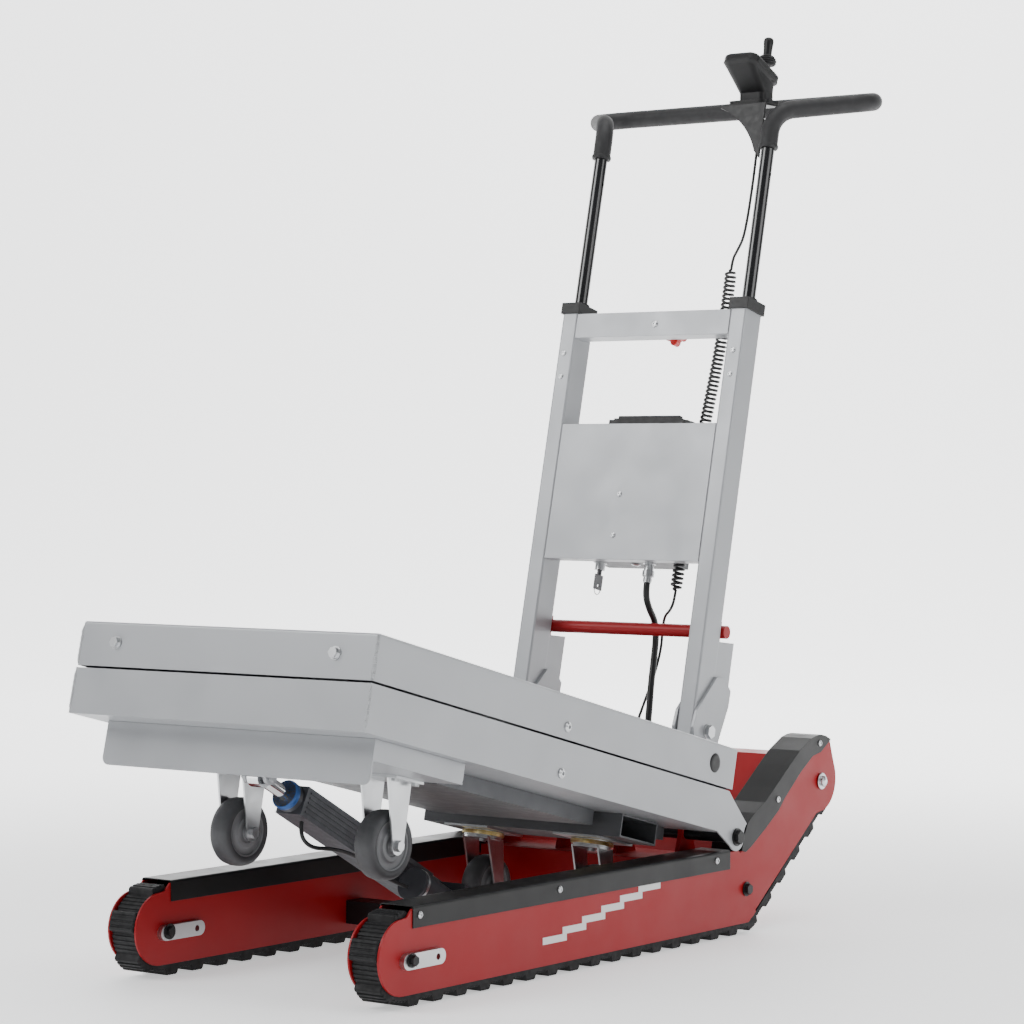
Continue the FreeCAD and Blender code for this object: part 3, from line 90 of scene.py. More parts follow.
def finish_of(name, base, rough, metal=0.0, vary=0.06, vary_scale=9.0, bump=0.15, grain=900.0, dist=0.00008, coat=0.0,
              rough_vary=0.06, edge=0.0, second=None, spec=0.5):
    mt = bpy.data.materials.new(name)
    mt.use_nodes = True
    nt = mt.node_tree
    nt.nodes.clear()
    out = nt.nodes.new("ShaderNodeOutputMaterial")
    bs = nt.nodes.new("ShaderNodeBsdfPrincipled")
    nt.links.new(bs.outputs["BSDF"], out.inputs["Surface"])
    tc = nt.nodes.new("ShaderNodeTexCoord")
    n1 = nt.nodes.new("ShaderNodeTexNoise")
    n1.inputs["Scale"].default_value = vary_scale
    n1.inputs["Detail"].default_value = 5.0
    nt.links.new(tc.outputs["Object"], n1.inputs["Vector"])
    mr = nt.nodes.new("ShaderNodeMapRange")
    mr.inputs["From Min"].default_value = 0.3
    mr.inputs["From Max"].default_value = 0.7
    nt.links.new(n1.outputs["Fac"], mr.inputs["Value"])
    mix = nt.nodes.new("ShaderNodeMix")
    mix.data_type = "RGBA"
    lo = [c * (1 - vary) for c in base]
    hi = [min(1.0, c * (1 + vary)) for c in (second or base)]
    mix.inputs[6].default_value = (lo[0], lo[1], lo[2], 1)
    mix.inputs[7].default_value = (hi[0], hi[1], hi[2], 1)
    nt.links.new(mr.outputs["Result"], mix.inputs[0])
    nt.links.new(mix.outputs[2], bs.inputs["Base Color"])
    bs.inputs["Metallic"].default_value = metal
    bs.inputs["Specular IOR Level"].default_value = spec
    bs.inputs["Coat Weight"].default_value = coat
    bs.inputs["Coat Roughness"].default_value = 0.12
    n2 = nt.nodes.new("ShaderNodeTexNoise")
    n2.inputs["Scale"].default_value = vary_scale * 3.1
    n2.inputs["Detail"].default_value = 6.0
    nt.links.new(tc.outputs["Object"], n2.inputs["Vector"])
    mr2 = nt.nodes.new("ShaderNodeMapRange")
    mr2.inputs["From Min"].default_value = 0.3
    mr2.inputs["From Max"].default_value = 0.7
    mr2.inputs["To Min"].default_value = max(0.03, rough - rough_vary)
    mr2.inputs["To Max"].default_value = min(1.0, rough + rough_vary)
    nt.links.new(n2.outputs["Fac"], mr2.inputs["Value"])
    nt.links.new(mr2.outputs["Result"], bs.inputs["Roughness"])
    n3 = nt.nodes.new("ShaderNodeTexNoise")
    n3.inputs["Scale"].default_value = grain
    n3.inputs["Detail"].default_value = 3.0
    nt.links.new(tc.outputs["Object"], n3.inputs["Vector"])
    bp = nt.nodes.new("ShaderNodeBump")
    bp.inputs["Strength"].default_value = bump
    bp.inputs["Distance"].default_value = dist
    nt.links.new(n3.outputs["Fac"], bp.inputs["Height"])
    if edge > 0:
        bv = nt.nodes.new("ShaderNodeBevel")
        bv.samples = 4
        bv.inputs["Radius"].default_value = edge
        nt.links.new(bv.outputs["Normal"], bp.inputs["Normal"])
    nt.links.new(bp.outputs["Normal"], bs.inputs["Normal"])
    return mt


MT = {
    "silver_paint": finish_of("silver_paint", (0.36, 0.37, 0.385), 0.40, metal=0.35, vary=0.025, vary_scale=5, bump=0.35, grain=1500, dist=0.00006, edge=0.0012, coat=0.15),
    "red_paint": finish_of("red_paint", (0.30, 0.003, 0.006), 0.42, vary=0.04, vary_scale=6, bump=0.35, grain=900, dist=0.00008, edge=0.0008, coat=0.05, spec=0.3),
    "black_paint": finish_of("black_paint", (0.006, 0.006, 0.0065), 0.40, vary=0.15, vary_scale=7, bump=0.35, grain=1100, dist=0.00006, edge=0.001, coat=0.04, spec=0.3),
    "zinc": finish_of("zinc", (0.60, 0.61, 0.62), 0.32, metal=1.0, vary=0.05, vary_scale=12, bump=0.2, grain=700, dist=0.00006, edge=0.0006, rough_vary=0.04),
    "black_steel": finish_of("black_steel", (0.009, 0.009, 0.010), 0.42, metal=0.3, vary=0.2, vary_scale=80, edge=0.0005),
    "belt_rubber": finish_of("belt_rubber", (0.006, 0.006, 0.0065), 0.62, vary=0.30, vary_scale=40, bump=0.6, grain=500, dist=0.0003, second=(0.011, 0.011, 0.012), rough_vary=0.12, spec=0.3),
    "wheel_rubber": finish_of("wheel_rubber", (0.050, 0.051, 0.055), 0.55, vary=0.12, vary_scale=50, bump=0.4, grain=600, dist=0.0001),
    "pulley_plastic": finish_of("pulley_plastic", (0.03, 0.03, 0.033), 0.5, vary=0.1),
    "actuator_grey": finish_of("actuator_grey", (0.060, 0.063, 0.072), 0.45, metal=0.3, vary=0.1, vary_scale=30, edge=0.0008),
    "chrome": finish_of("chrome", (0.78, 0.79, 0.80), 0.09, metal=1.0, vary=0.03, rough_vary=0.03, bump=0.05),
    "black_tube": finish_of("black_tube", (0.006, 0.006, 0.007), 0.22, vary=0.2, vary_scale=12, bump=0.08, coat=0.6, rough_vary=0.05),
    "grip_rubber": finish_of("grip_rubber", (0.008, 0.008, 0.009), 0.62, vary=0.2, vary_scale=30, bump=0.7, grain=1400, dist=0.00015),
    "black_plastic": finish_of("black_plastic", (0.006, 0.006, 0.0065), 0.42, vary=0.15, vary_scale=40, bump=0.5, grain=1800, dist=0.0001, edge=0.001, spec=0.35),
    "box_paint": finish_of("box_paint", (0.10, 0.103, 0.11), 0.45, vary=0.1, vary_scale=14, metal=0.3, edge=0.0008),
    "knob_red": finish_of("knob_red", (0.55, 0.012, 0.010), 0.28, vary=0.05, vary_scale=60, edge=0.0012, coat=0.3),
    "cable_black": finish_of("cable_black", (0.008, 0.008, 0.009), 0.42, vary=0.2, vary_scale=60, bump=0.2),
    "steel_dark": finish_of("steel_dark", (0.10, 0.10, 0.105), 0.4, metal=0.8, vary=0.15, vary_scale=40, edge=0.0006),
}
HUB = finish_of("hub_grey", (0.16, 0.163, 0.17), 0.5, vary=0.08, vary_scale=60, bump=0.3, grain=500)
GOLD = finish_of("gold_passivate", (0.62, 0.45, 0.14), 0.33, metal=1.0, vary=0.2, vary_scale=90, second=(0.66, 0.56, 0.30))
WHITE = finish_of("white_mark", (0.75, 0.75, 0.74), 0.5, vary=0.02, bump=0.1)
BLUE = finish_of("blue_collar", (0.02, 0.08, 0.26), 0.35, metal=0.3, vary=0.1)
WELD = finish_of("weld", (0.36, 0.37, 0.38), 0.36, metal=0.4, vary=0.08, vary_scale=200, bump=0.8, grain=500, dist=0.0003)
LED = finish_of("lens_dark", (0.02, 0.02, 0.025), 0.15, vary=0.05, coat=0.6)

slot_of = {s["node"]: s["material_slot"] for s in REC["subparts"]}
for n, o in NODES.items():
    o.data.materials.clear()
    o.data.materials.append(MT[slot_of[n]])

# ------------------------------------------------------------------ mesh helpers


def new_mesh(name, verts, faces, mt, body, smooth=True, angle=38):
    me = bpy.data.meshes.new(name)
    me.from_pydata([tuple(v) for v in verts], [], faces)
    me.validate()
    me.update()
    ob = bpy.data.objects.new(name, me)
    scene.collection.objects.link(ob)
    me.materials.append(mt)
    if smooth:
        me.shade_smooth()
        if hasattr(me, "set_sharp_from_angle"):
            me.set_sharp_from_angle(angle=math.radians(angle))
    if body:
        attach(ob, body)
    return ob


def basis(axis):
    a = Vector(axis).normalized()
    h = Vector((0, 0, 1)) if abs(a.z) < 0.9 else Vector((0, 1, 0))
    e1 = h.cross(a).normalized()
    return a, e1, a.cross(e1)


def lathe_data(profile, origin, axis, seg=64, closed=True, base=0):
    """Points (along, radius) in mm turned about an axis."""
    a, e1, e2 = basis(axis)
    vs, fs = [], []
    n = len(profile)
    for k in range(seg):
        t = 2 * math.pi * k / seg
        d = e1 * math.cos(t) + e2 * math.sin(t)
        for x, r in profile:
            vs.append(origin + a * (x / 1000) + d * (r / 1000))
    for k in range(seg):
        k2 = (k + 1) % seg
        for i in range(n if closed else n - 1):
            j = (i + 1) % n
            fs.append((base + k * n + i, base + k2 * n + i, base + k2 * n + j, base + k * n + j))
    return vs, fs


def lathe(name, profile, origin, axis, mt, body, seg=64, closed=True):
    vs, fs = lathe_data(profile, Vector(origin), axis, seg, closed)
    return new_mesh(name, vs, fs, mt, body)


def many(name, items, mt, body, seg=32, closed=True):
    """Several turned shapes in one piece: (profile, origin, axis)."""
    V_, F_ = [], []
    for prof, o, a in items:
        vs, fs = lathe_data(prof, Vector(o), a, seg, closed, len(V_))
        V_ += vs
        F_ += fs
    return new_mesh(name, V_, F_, mt, body)


def extruded(name, outline, origin, ex, ey, en, thick, mt, body):
    """A flat outline (mm) in the ex, ey plane, raised along en."""
    n = len(outline)
    vs = [origin + ex * (p[0] / 1000) + ey * (p[1] / 1000) for p in outline]
    vs += [v + en * (thick / 1000) for v in vs]
    fs = [tuple(range(n - 1, -1, -1)), tuple(range(n, 2 * n))]
    fs += [(i, (i + 1) % n, n + (i + 1) % n, n + i) for i in range(n)]
    return new_mesh(name, vs, fs, mt, body, smooth=False)


# ------------------------------------------------------------------ cords
def nurbs(name, pts, rad, mt, body, bevel=True):
    cu = bpy.data.curves.new(name, "CURVE")
    cu.dimensions = "3D"
    cu.resolution_u = 12
    sp = cu.splines.new("NURBS")
    sp.points.add(len(pts) - 1)
    for i, p in enumerate(pts):
        sp.points[i].co = (p[0], p[1], p[2], 1)
    sp.order_u = 3
    sp.use_endpoint_u = True
    if bevel:
        cu.bevel_depth = rad
        cu.bevel_resolution = 5
        cu.use_fill_caps = True
    ob = bpy.data.objects.new(name, cu)
    scene.collection.objects.link(ob)
    if mt:
        cu.materials.append(mt)
    if body:
        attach(ob, body)
    return ob


def line_points(pts):
    """Points along the route's own NURBS line."""
    ob = nurbs("route_probe", pts, 0, None, None, bevel=False)
    ob.data.resolution_u = 40
    bpy.context.view_layer.update()
    dg = bpy.context.evaluated_depsgraph_get()
    me = bpy.data.meshes.new_from_object(ob.evaluated_get(dg))
    out = [v.co.copy() for v in me.vertices]
    bpy.data.objects.remove(ob)
    bpy.data.meshes.remove(me)
    return out


def length_of(pts):
    return sum((pts[i + 1] - pts[i]).length for i in range(len(pts) - 1))


GLZ = 142 + (934.0 - 905) * (130.5 / 138)
lead_top = [mast(138, 40, 1046), mast(139, 37, 1018), mast(139.5, 34.5, 983), mast(140, 35, 938), mast(138.5, 37, 893), mast(136, 39, 850), mast(131, 42, 816), mast(121, 45, 798), mast(112.19, 46.9, 783), mast(112, 47.5, 767)]
coil = [mast(112, 47.5, 767), mast(111.2, 50, 700), mast(108, 50, 620), mast(103, 48, 540), mast(98.5, 44, 460), mast(95.5, 40, 380), mast(93.5, 38, 300), mast(89, 42, 220)]
lead_low = [mast(89, 42, 220), mast(88.1, 42.8, 204), mast(78, 50, 190), mast(60, 64, 184), mast(46, 84, 166), mast(38, 100, 134), mast(26, 108, 92), mast(12, 110, 46), mast(2, 108, 2),
            ch(-4.0, 938, 262.0), ch(-4.0, 937, 220.0), ch(-4.0, 934, GLZ + 6)]
power = [mast(37, 34, 232), mast(37, 34, 212), mast(36, 52, 192), mast(34, 76, 178), mast(33, 88, 152), mast(33, 90, 112), mast(35, 88, 74), mast(38, 88, 36), mast(38, 90, 2), ch(36.0, 932, 266.0), ch(32.0, 936, 228.0), ch(30.0, 934, GLZ + 7)]
EYE = pf(0, 118, -190)
TAIL = ch(0, 407.5, 84.0)
reach = (EYE - TAIL).length * 1000
a_dir = (EYE - TAIL).normalized()
side_n = Vector((0, -a_dir.z, a_dir.y))
if side_n.z < 0:
    side_n = -side_n


def along(k, h=0.0, x=0.0):
    return TAIL + a_dir * (k / 1000) + side_n * (h / 1000) + X_DIR * (x / 1000)


act_route = [along(reach - 100, -26, 14), along(reach - 100, -46, 18), along(reach - 122, -56, 26), along(reach - 152, -44, 34), along(reach - 190, -34, 36),
             along(reach - 236, -30, 38), along(reach - 280, -38, 44), along(152, -34, 56)]

CORD = MT["cable_black"]
BODY_OF = {n: b for b, ns in REC["behaviour"]["bodies"].items() for n in ns}
for nm, pts, rad in (("joystick_lead_upper", lead_top, 0.0023), ("joystick_lead_lower", lead_low, 0.0023), ("power_cable", power, 0.0055), ("actuator_cable", act_route, 0.003)):
    ob = nurbs(nm + "_cord", pts, rad, CORD, BODY_OF[nm])
    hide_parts(nm)
    length_of(line_points(pts))

# curled part: a helix about the route
P = line_points(coil)
acc = [0.0]
for i in range(len(P) - 1):
    acc.append(acc[-1] + (P[i + 1] - P[i]).length)
TOTAL = acc[-1]
TURNS, WIRE, HR = 74, 0.0022, 0.0081
steps = TURNS * 20
hel = []
j = 0
for k in range(steps + 1):
    f = k / steps
    s = f * TOTAL
    while j < len(acc) - 2 and acc[j + 1] < s:
        j += 1
    w = (s - acc[j]) / max(1e-9, acc[j + 1] - acc[j])
    p = P[j].lerp(P[j + 1], w)
    t = (P[j + 1] - P[j]).normalized()
    e1 = X_DIR - t * t.dot(X_DIR)
    e1.normalize()
    e2 = t.cross(e1)
    grow = min(1.0, f * TURNS / 1.3, (1 - f) * TURNS / 1.3)
    a = 2 * math.pi * TURNS * f
    hel.append(p + (e1 * math.cos(a) + e2 * math.sin(a)) * HR * (grow * grow * (3 - 2 * grow)))
cu = bpy.data.curves.new("joystick_curl_coil", "CURVE")
cu.dimensions = "3D"
sp = cu.splines.new("POLY")
sp.points.add(len(hel) - 1)
for i, p in enumerate(hel):
    sp.points[i].co = (p[0], p[1], p[2], 1)
cu.bevel_depth = WIRE
cu.bevel_resolution = 3
cu.use_fill_caps = True
cu.materials.append(CORD)
curl = bpy.data.objects.new("joystick_curl_coil", cu)
scene.collection.objects.link(curl)
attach(curl, BODY_OF["joystick_curl"])
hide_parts("joystick_curl")

# ------------------------------------------------------------------ belts
FRONT, BEND, TOP = (10.0, 66.0), (891.0, 71.0), (1124.3, 225.0)
FR, BR, TR_ = 49.0, 54.0, 37.0
dx, dy = TOP[0] - BEND[0], TOP[1] - BEND[1]
kk = math.acos((BR - TR_) / math.hypot(dx, dy))
aa = math.atan2(dy, dx) - kk
n0 = (math.cos(aa), math.sin(aa))
i0 = (BEND[0] + BR * n0[0], BEND[1] + BR * n0[1])
i1 = (TOP[0] + TR_ * n0[0], TOP[1] + TR_ * n0[1])
ang = math.atan2(i1[1] - i0[1], i1[0] - i0[0])
rd = (math.cos(ang), math.sin(ang))
rh = (TOP[0] - TR_ * rd[1], TOP[1] + TR_ * rd[0])
zr = FRONT[1] + FR
q = (rh[1] - zr) / rd[1]
corner = (rh[0] - rd[0] * q, zr)
RC = 150.0
tl = RC * math.tan(ang / 2)
c_a = (corner[0] + rd[0] * tl, corner[1] + rd[1] * tl)
c_b = (corner[0] - tl, zr)
cc = (c_b[0], zr + RC)
half = math.pi / 2
SEG = [("L", (FRONT[0], FRONT[1] - FR), (BEND[0], BEND[1] - BR)), ("A", BEND, BR, -half, -half + ang, 1), ("L", i0, i1), ("A", TOP, TR_, ang - half, ang + half, 1),
       ("L", rh, c_a), ("A", cc, RC, ang - half, -half, -1), ("L", c_b, (FRONT[0], zr)), ("A", FRONT, FR, half, 3 * half, 1)]


def seg_len(g):
    return math.hypot(g[2][0] - g[1][0], g[2][1] - g[1][1]) if g[0] == "L" else abs(g[4] - g[3]) * g[2]


LENS = [seg_len(g) for g in SEG]
LOOP = sum(LENS)
N_LUG = int(round(LOOP / 55.0))
PITCH_L = LOOP / N_LUG


def at(s):
    """Point and outward normal on the inner line of the belt."""
    s %= LOOP
    for g, ln in zip(SEG, LENS):
        if s <= ln:
            break
        s -= ln
    if g[0] == "L":
        t = ((g[2][0] - g[1][0]) / ln, (g[2][1] - g[1][1]) / ln)
        return (g[1][0] + t[0] * s, g[1][1] + t[1] * s), (t[1], -t[0])
    a = g[3] + (g[4] - g[3]) * s / ln
    n = (math.cos(a), math.sin(a))
    return (g[1][0] + g[2] * n[0], g[1][1] + g[2] * n[1]), (n[0] * g[5], n[1] * g[5])


shape = [(-14.3, 8.0), (-13.6, 8.9), (-11.0, 15.6), (-10.0, 16.8), (-9.0, 17.0), (-7.2, 17.0), (-6.6, 15.2), (-4.6, 15.2), (-4.0, 17.0), (-1.3, 17.0), (-0.9, 15.6), (0.9, 15.6), (1.3, 17.0), (4.0, 17.0), (4.6, 15.2), (6.6, 15.2), (7.2, 17.0), (9.0, 17.0), (10.0, 16.8), (11.0, 15.6), (13.6, 8.9), (14.3, 8.0)]
gap = PITCH_L - 28.6
for c in (0.17, 0.39, 0.61, 0.83):
    b0 = 14.3 + gap * c
    shape += [(b0 - 2.1, 8.0), (b0 - 1.5, 9.5), (b0 + 1.5, 9.5), (b0 + 2.1, 8.0)]
for side, sx in (("left", 1), ("right", -1)):
    x0, x1 = 196.3, 243.2
    if sx < 0:
        x0, x1 = -243.2, -196.3
    vs, fs = [], []
    for i in range(N_LUG):
        for off, h in shape:
            p, n = at((i + 0.35) * PITCH_L + off)
            c = 1.6
            row = [(x0, 0), (x1, 0), (x1, h - c), (x1 - c, h), (x0 + c, h), (x0, h - c)]
            for x, hh in row:
                vs.append(ch(x, p[0] + n[0] * hh, p[1] + n[1] * hh))
    K = len(vs) // 6
    for i in range(K):
        i2 = (i + 1) % K
        for j in range(6):
            j2 = (j + 1) % 6
            fs.append((i * 6 + j, i2 * 6 + j, i2 * 6 + j2, i * 6 + j2))
    ob = new_mesh(side + "_ribbed_belt", vs, fs, MT["belt_rubber"], "chassis", smooth=False)
    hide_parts(side + "_belt")

# ------------------------------------------------------------------ casters
tread = [(-15.5, 35.5), (-17, 37.5), (-17, 42), (-15.8, 45.5), (-12.5, 48.2), (-6, 49.7), (0, 50), (6, 49.7), (12.5, 48.2), (15.8, 45.5), (17, 42), (17, 37.5), (15.5, 35.5)]
hub = [(-16, 35.7), (-15.2, 33.5), (-13.2, 32.6), (-12.4, 30), (-12.4, 25), (-13.6, 23.4), (-16.4, 22.4), (-17, 20.5), (-17, 16), (-15.6, 14.6), (-15.6, 11), (-17.2, 10.4), (-21.4, 8.6), (-21.4, 5.2),
       (21.4, 5.2), (21.4, 8.6), (17.2, 10.4), (15.6, 11), (15.6, 14.6), (17, 16), (17, 20.5), (16.4, 22.4), (13.6, 23.4), (12.4, 25), (12.4, 30), (13.2, 32.6), (15.2, 33.5), (16, 35.7)]
RU, TRL = 808.0, 28.0
for nm, x, u in (("left_front_wheel", 133.1, 249.6), ("right_front_wheel", -133.1, 249.6), ("left_rear_wheel", 105.0, RU + TRL), ("right_rear_wheel", -105.0, RU + TRL)):
    c = pf(x, u, -258)
    t = lathe(nm + "_tread", tread, c, X_DIR, MT["wheel_rubber"], nm, seg=96)
    h = lathe(nm + "_hub", hub, c, X_DIR, HUB, nm, seg=72)
    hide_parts(nm)
    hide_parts(nm)
races = []
for x in (-105.0, 105.0):
    races.append(([(0, 30.4), (0, 33.2), (3.2, 34.4), (6.4, 33.2), (6.4, 30.4)], pf(x, RU, -133.9 - 47.4), V_DIR))
many("swivel_races", races, GOLD, "platform", seg=48)

# ------------------------------------------------------------------ platform details: weld beads on the front corners


def bead(items, name, body):
    V_, F_ = [], []
    for p, qv, r in items:
        L = (qv - p).length
        n = max(8, int(L / 0.0009))
        t, e1, e2 = basis(qv - p)
        base = len(V_)
        for i in range(n + 1):
            f = i / n
            ripple = 1.0 + 0.20 * math.sin(f * L * 2100) + 0.08 * math.sin(f * L * 730 + 1.3)
            end = min(1.0, f * 9, (1 - f) * 9)
            for k in range(10):
                a = 2 * math.pi * k / 10
                V_.append(p.lerp(qv, f) + (e1 * math.cos(a) + e2 * math.sin(a)) * r * ripple * (0.35 + 0.65 * end))
        for i in range(n):
            for k in range(10):
                k2 = (k + 1) % 10
                F_.append((base + i * 10 + k, base + i * 10 + k2, base + (i + 1) * 10 + k2, base + (i + 1) * 10 + k))
    return new_mesh(name, V_, F_, WELD, body)


beads = []
for sx in (1, -1):
    beads.append((pf(sx * 266.9, 1.4, -7), pf(sx * 266.9, 1.4, -62), 0.0026))
    beads.append((pf(sx * 267.4, 0.9, -70.5), pf(sx * 267.4, 0.9, -131), 0.0024))
bead(beads, "tray_weld_beads", "platform")

# ------------------------------------------------------------------ plate mark: a plain stair-step line
steps_ = 6
w0, hgt, thk = 50.0, 10.0, 10.5
for side, sx in (("left", 1), ("right", -1)):
    top, bot = [], []
    x, z = 0.0, 0.0
    for i in range(steps_):
        top += [(x, z + thk), (x + w0, z + thk)]
        bot += [(x + (thk if i else 0), z), (x + w0 + thk, z)]
        x += w0
        z += hgt
    out = [(p[0], p[1]) for p in top] + [(x + thk, z + thk - hgt)] + [(p[0], p[1]) for p in reversed(bot)]
    extruded(side + "_plate_mark", out, ch(sx * 246.82, 330, 48), Vector((0, 1, 0)), Vector((0, 0, 1)), X_DIR * sx, 0.25, WHITE, "chassis")

# ------------------------------------------------------------------ plugs in the deck sides and caps on the fold bolts
plugs = []
for sx in (1, -1):
    plugs.append(([(-1.8, 0.05), (-1.8, 14.6), (0.4, 14.6), (1.0, 13.4), (1.2, 9.0), (0.8, 0.05)], pf(sx * 268.3, 873.4, -32), X_DIR * sx))
many("side_hole_plugs", plugs, MT["black_plastic"], "platform", seg=48)

ends = []
for sx in (1, -1):
    ends.append(([(0.2, 0.05), (0.2, 13.2), (1.6, 13.6), (2.2, 13.0), (2.4, 8.4), (6.4, 8.2), (7.4, 6.8), (7.4, 0.05)], ch(sx * 248.4, TOP[0], TOP[1]), X_DIR * sx))
many("upper_axle_ends", ends, MT["zinc"], "chassis", seg=36)
NODES["key"].data.materials.clear()
NODES["key"].data.materials.append(MT["steel_dark"])

# ------------------------------------------------------------------ mast details
many("grip_lips", [([(-3.5, 11.2), (-3.5, 15.6), (-1.5, 16.5), (1.5, 16.5), (3.5, 15.6), (3.5, 11.2)], mast(sx * 165.9, 27, 968.5), S_DIR) for sx in (1, -1)], MT["grip_rubber"], "handle", seg=48)
many("tube_collars", [([(0, 11.25), (0, 14.2), (2.4, 14.8), (4.4, 14.2), (5.2, 11.25)], mast(sx * 165.9, 27, 703.2), S_DIR) for sx in (1, -1)], MT["black_plastic"], "mast", seg=48)

# battery pack ribs, carry bar and front seam
V_, F_ = [], []


def cuboid(c0, c1, fn, V_, F_):
    base = len(V_)
    for x in (c0[0], c1[0]):
        for y in (c0[1], c1[1]):
            for z in (c0[2], c1[2]):
                V_.append(fn(x, y, z))
    F_ += [tuple(base + i for i in f) for f in ((0, 1, 3, 2), (4, 6, 7, 5), (0, 4, 5, 1), (2, 3, 7, 6), (0, 2, 6, 4), (1, 5, 7, 3))]


for i in range(9):
    x = -56 + i * 14
    cuboid((x - 2, 41, 508.0), (x + 2, 66, 510.4), mast, V_, F_)
cuboid((-40, 66, 508), (40, 72, 514), mast, V_, F_)
for sx in (-1, 1):
    cuboid((sx * 69 - 4, 36, 504.8), (sx * 69 + 4, 72, 507.0), mast, V_, F_)
ob = new_mesh("battery_ribs", V_, F_, MT["black_plastic"], "mast", smooth=False)

# key ring on the key
KX, KD = -62.0, 38.0
ring = []
vs, fs = [], []
for i in range(40):
    a = 2 * math.pi * i / 40
    c = mast(KX, KD + 8.5 * math.cos(a), 219.5 + 8.5 * math.sin(a))
    er = (mast(KX, KD + math.cos(a), math.sin(a)) - mast(KX, KD, 0)).normalized()
    for k in range(8):
        b = 2 * math.pi * k / 8
        vs.append(c + er * 0.0008 * math.cos(b) + X_DIR * 0.0008 * math.sin(b))
for i in range(40):
    for k in range(8):
        fs.append((i * 8 + k, ((i + 1) % 40) * 8 + k, ((i + 1) % 40) * 8 + (k + 1) % 8, i * 8 + (k + 1) % 8))
new_mesh("key_ring", vs, fs, MT["zinc"], "key")
# knurled rings on the round connector
rings = []
for s0 in (250.0, 246.5, 243.6, 238.0, 235.5):
    r = 9.7 if s0 > 243 else 7.1
    rings.append(([(-0.9, r - 0.6), (-0.9, r + 0.35), (0.9, r + 0.35), (0.9, r - 0.6)], mast(37, 34, s0), S_DIR))
many("connector_rings", rings, MT["zinc"], "mast", seg=40)
# stop knob cap and shaft ring
many("knob_cap", [([(12.0, 0.05), (12.0, 9.5), (13.2, 8.6), (13.8, 5.0), (14.0, 0.05)], mast(22, 40.5, 655), D_DIR)], MT["knob_red"], "stop_knob", seg=40)
many("knob_collar", [([(0, 6.3), (0, 10.5), (5.0, 10.0), (6.0, 8.5), (6.0, 6.3)], mast(22, 27.9, 655), D_DIR)], MT["black_plastic"], "mast", seg=40)

# ------------------------------------------------------------------ joystick: stick with gaiter
ztop = mast(108, 27, 1048).z
zf = ztop - 0.0004
PTI, PTS = math.radians(24.3), math.radians(10.0)
hx = Vector((0, math.sin(PTI), math.cos(PTI)))
hy = Vector((0, math.cos(PTI), -math.sin(PTI)))
ax = Vector((0, math.sin(PTS), math.cos(PTS)))
hc = Vector((0.108, (1129.0 - SH - 7.2) / 1000, zf + 0.0646))
STK = hc + X_DIR * 0.014 + hy * 0.022
GB = STK - ax * 0.002
gait = [(13.8, 0.05), (13.8, 11.6), (14.6, 14.4)]
for z0, r0 in ((16.6, 15.6), (20.4, 16.2), (24.0, 14.8), (27.4, 12.0)):
    gait += [(z0 - 0.9, r0 - 1.6), (z0, r0 + 0.1), (z0 + 1.2, r0 + 0.2), (z0 + 2.2, r0 - 1.4)]
gait += [(30.8, 8.6), (31.6, 7.4), (31.6, 0.05)]
g = lathe("joystick_gaiter", gait, GB, ax, MT["grip_rubber"], "joystick_stick", seg=64)
stick = [(29.0, 0.05), (29.0, 6.8), (32, 7.3), (37, 7.2), (44, 7.7), (50, 8.3), (54, 8.6), (57.6, 8.2), (60.2, 6.6), (61.6, 3.8), (62.0, 0.05)]
st = lathe("joystick_knob", stick, GB, ax, MT["black_plastic"], "joystick_stick", seg=48)
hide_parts("joystick_stick")
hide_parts("joystick_stick")
# seam and pads on the pod head
V_, F_ = [], []


def head(x, y, z):
    return hc + X_DIR * (x / 1000) + hy * (y / 1000) + hx * (z / 1000)


def ring_rrect(w, l, r, z0, z1, out, V_, F_):
    pts = []
    for cx, cy, a0 in ((w / 2 - r, l / 2 - r, 0), (-w / 2 + r, l / 2 - r, 90), (-w / 2 + r, -l / 2 + r, 180), (w / 2 - r, -l / 2 + r, 270)):
        for k in range(9):
            a = math.radians(a0 + 90 * k / 8)
            pts.append((cx + r * math.cos(a), cy + r * math.sin(a), math.cos(a), math.sin(a)))
    base = len(V_)
    for x, y, nx, ny in pts:
        for o, z in ((-0.6, z0), (out, z0), (out, z1), (-0.6, z1)):
            V_.append(head(x + nx * o, y + ny * o, z))
    n = len(pts)
    for i in range(n):
        i2 = (i + 1) % n
        for k in range(4):
            k2 = (k + 1) % 4
            F_.append((base + i * 4 + k, base + i2 * 4 + k, base + i2 * 4 + k2, base + i * 4 + k2))


ring_rrect(65.6, 91.4, 15, -13.6, -12.6, 0.5, V_, F_)
ring_rrect(65.6, 91.4, 15, -6.6, -5.8, 0.35, V_, F_)
new_mesh("pod_seams", V_, F_, MT["black_plastic"], "handle", smooth=False)
many("pod_buttons", [([(0, 0.05), (0, 4.6), (1.4, 4.2), (1.8, 3.0), (1.8, 0.05)], head(x, -26, -0.3), hx) for x in (-15, 0, 15)], LED, "handle", seg=32)

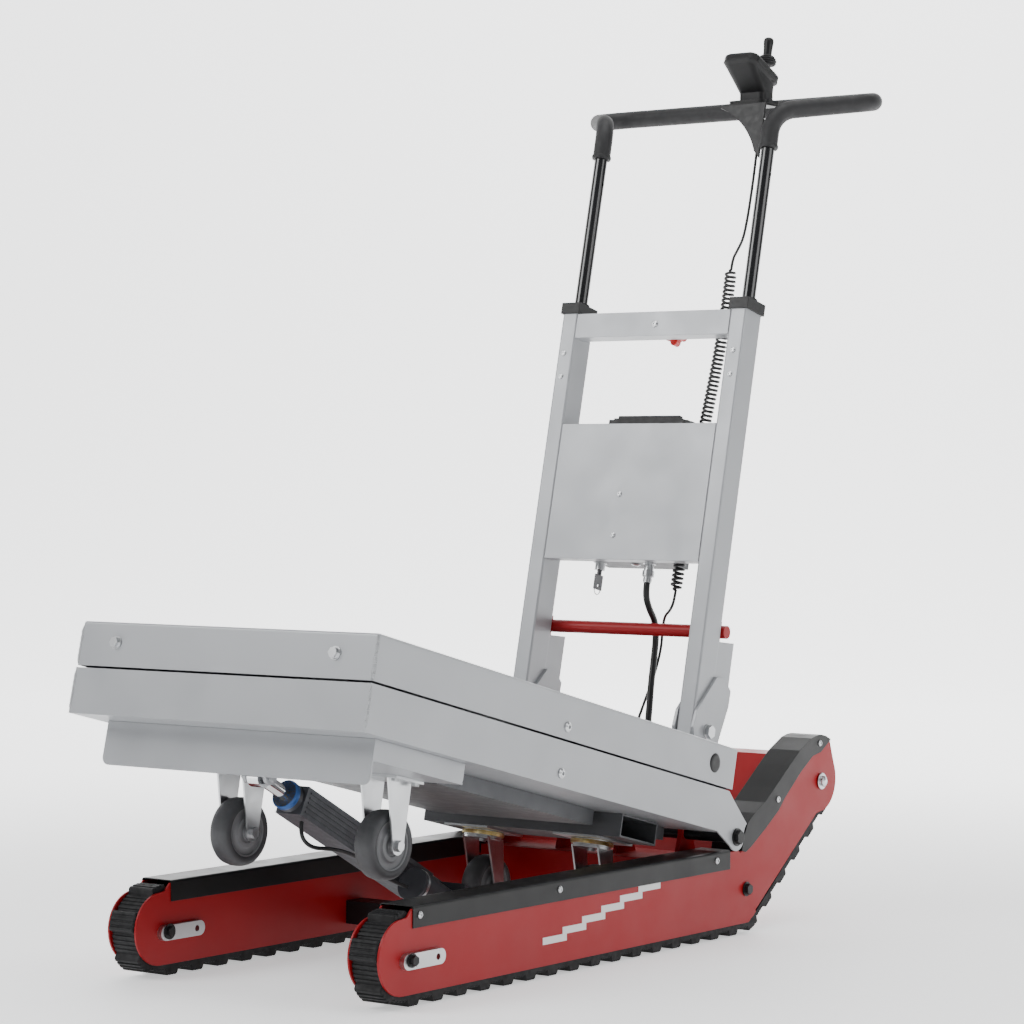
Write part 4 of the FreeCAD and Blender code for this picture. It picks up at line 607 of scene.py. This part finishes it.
# ------------------------------------------------------------------ actuator: collar and housing ridges
many("actuator_collar", [([(-1, 10.3), (-1, 20.4), (3, 21.9), (9, 21.9), (11, 20.4), (11, 10.3)], along(reach - 73), a_dir)], BLUE, "actuator", seg=56)
V_, F_ = [], []
for sx in (1, -1):
    for h in (-14, -7, 0, 7, 14):
        x0, x1 = (22.9, 24.3) if sx > 0 else (-24.3, -22.9)
        cuboid((x0, h - 1.2, 96), (x1, h + 1.2, reach - 90), lambda x, y, z: along(z, y, x), V_, F_)
new_mesh("actuator_ridges", V_, F_, MT["actuator_grey"], "actuator", smooth=False)
many("actuator_motor_bands", [([(-2, 25.0), (-2, 25.9), (2, 25.9), (2, 25.0)], along(k, -26, 58), a_dir) for k in (44, 138)], MT["zinc"], "actuator", seg=56)

# ------------------------------------------------------------------ stage and light
fl_m = bpy.data.materials.new("studio_floor")
fl_m.use_nodes = True
fb = fl_m.node_tree.nodes["Principled BSDF"]
fb.inputs["Base Color"].default_value = (0.82, 0.825, 0.83, 1)
fb.inputs["Roughness"].default_value = 0.6
fb.inputs["Emission Color"].default_value = (1.0, 1.0, 1.0, 1)
# painted light: the floor and backdrop glow more with distance from the object; the weaker glow near the object is
# painted shade around it, under the soft shadow the lamps cast
fnt = fl_m.node_tree
geo = fnt.nodes.new("ShaderNodeNewGeometry")
vlen = fnt.nodes.new("ShaderNodeVectorMath")
vlen.operation = "LENGTH"
fnt.links.new(geo.outputs["Position"], vlen.inputs[0])
painted_glow_ramp = fnt.nodes.new("ShaderNodeMapRange")
painted_glow_ramp.interpolation_type = "SMOOTHSTEP"
painted_glow_ramp.inputs["From Min"].default_value = 0.7
painted_glow_ramp.inputs["From Max"].default_value = 3.2
painted_glow_ramp.inputs["To Min"].default_value = 0.62
painted_glow_ramp.inputs["To Max"].default_value = 2.0
fnt.links.new(vlen.outputs["Value"], painted_glow_ramp.inputs["Value"])
fnt.links.new(painted_glow_ramp.outputs["Result"], fb.inputs["Emission Strength"])
prof = [(-9.0, 0.0), (5.0, 0.0)]
for k in range(1, 17):
    a = math.radians(90 * k / 16)
    prof.append((5.0 + 3.0 * math.sin(a), 3.0 - 3.0 * math.cos(a)))
prof.append((8.0, 9.0))
flat = Vector((fwd.x, fwd.y, 0)).normalized()
vs, fs = [], []
for s, z in prof:
    for w in (-12, 12):
        vs.append(flat * s + right * w + Vector((0, 0, z - 0.0006)))
for i in range(len(prof) - 1):
    fs.append((2 * i, 2 * i + 1, 2 * i + 3, 2 * i + 2))
floor = new_mesh("studio_floor", vs, fs, fl_m, None)

world = bpy.data.worlds.new("studio")
scene.world = world
world.use_nodes = True
bg = world.node_tree.nodes["Background"]
bg.inputs["Color"].default_value = (0.95, 0.97, 1.0, 1)
bg.inputs["Strength"].default_value = 0.18


def softbox(name, loc, target, size, power, color=(1, 1, 1)):
    ld = bpy.data.lights.new(name, "AREA")
    ld.shape = "RECTANGLE"
    ld.size, ld.size_y = size
    ld.energy = power
    ld.color = color
    ob = bpy.data.objects.new(name, ld)
    scene.collection.objects.link(ob)
    d = (Vector(target) - Vector(loc)).normalized()
    ob.matrix_world = Matrix.Translation(Vector(loc)) @ d.to_track_quat("-Z", "Y").to_matrix().to_4x4()
    return ob


softbox("key_box", (-2.2, -3.6, 3.4), (0, 0, 0.5), (2.6, 2.6), 150)
softbox("top_box", (0.3, 0.2, 4.2), (0, 0, 0.3), (4.0, 3.0), 120)
softbox("side_box", (4.2, 0.4, 2.2), (0, 0.1, 0.5), (2.4, 2.4), 55)
softbox("back_box", (-1.6, 3.6, 3.4), (-1.0, 7.0, 1.0), (3.5, 2.5), 140)
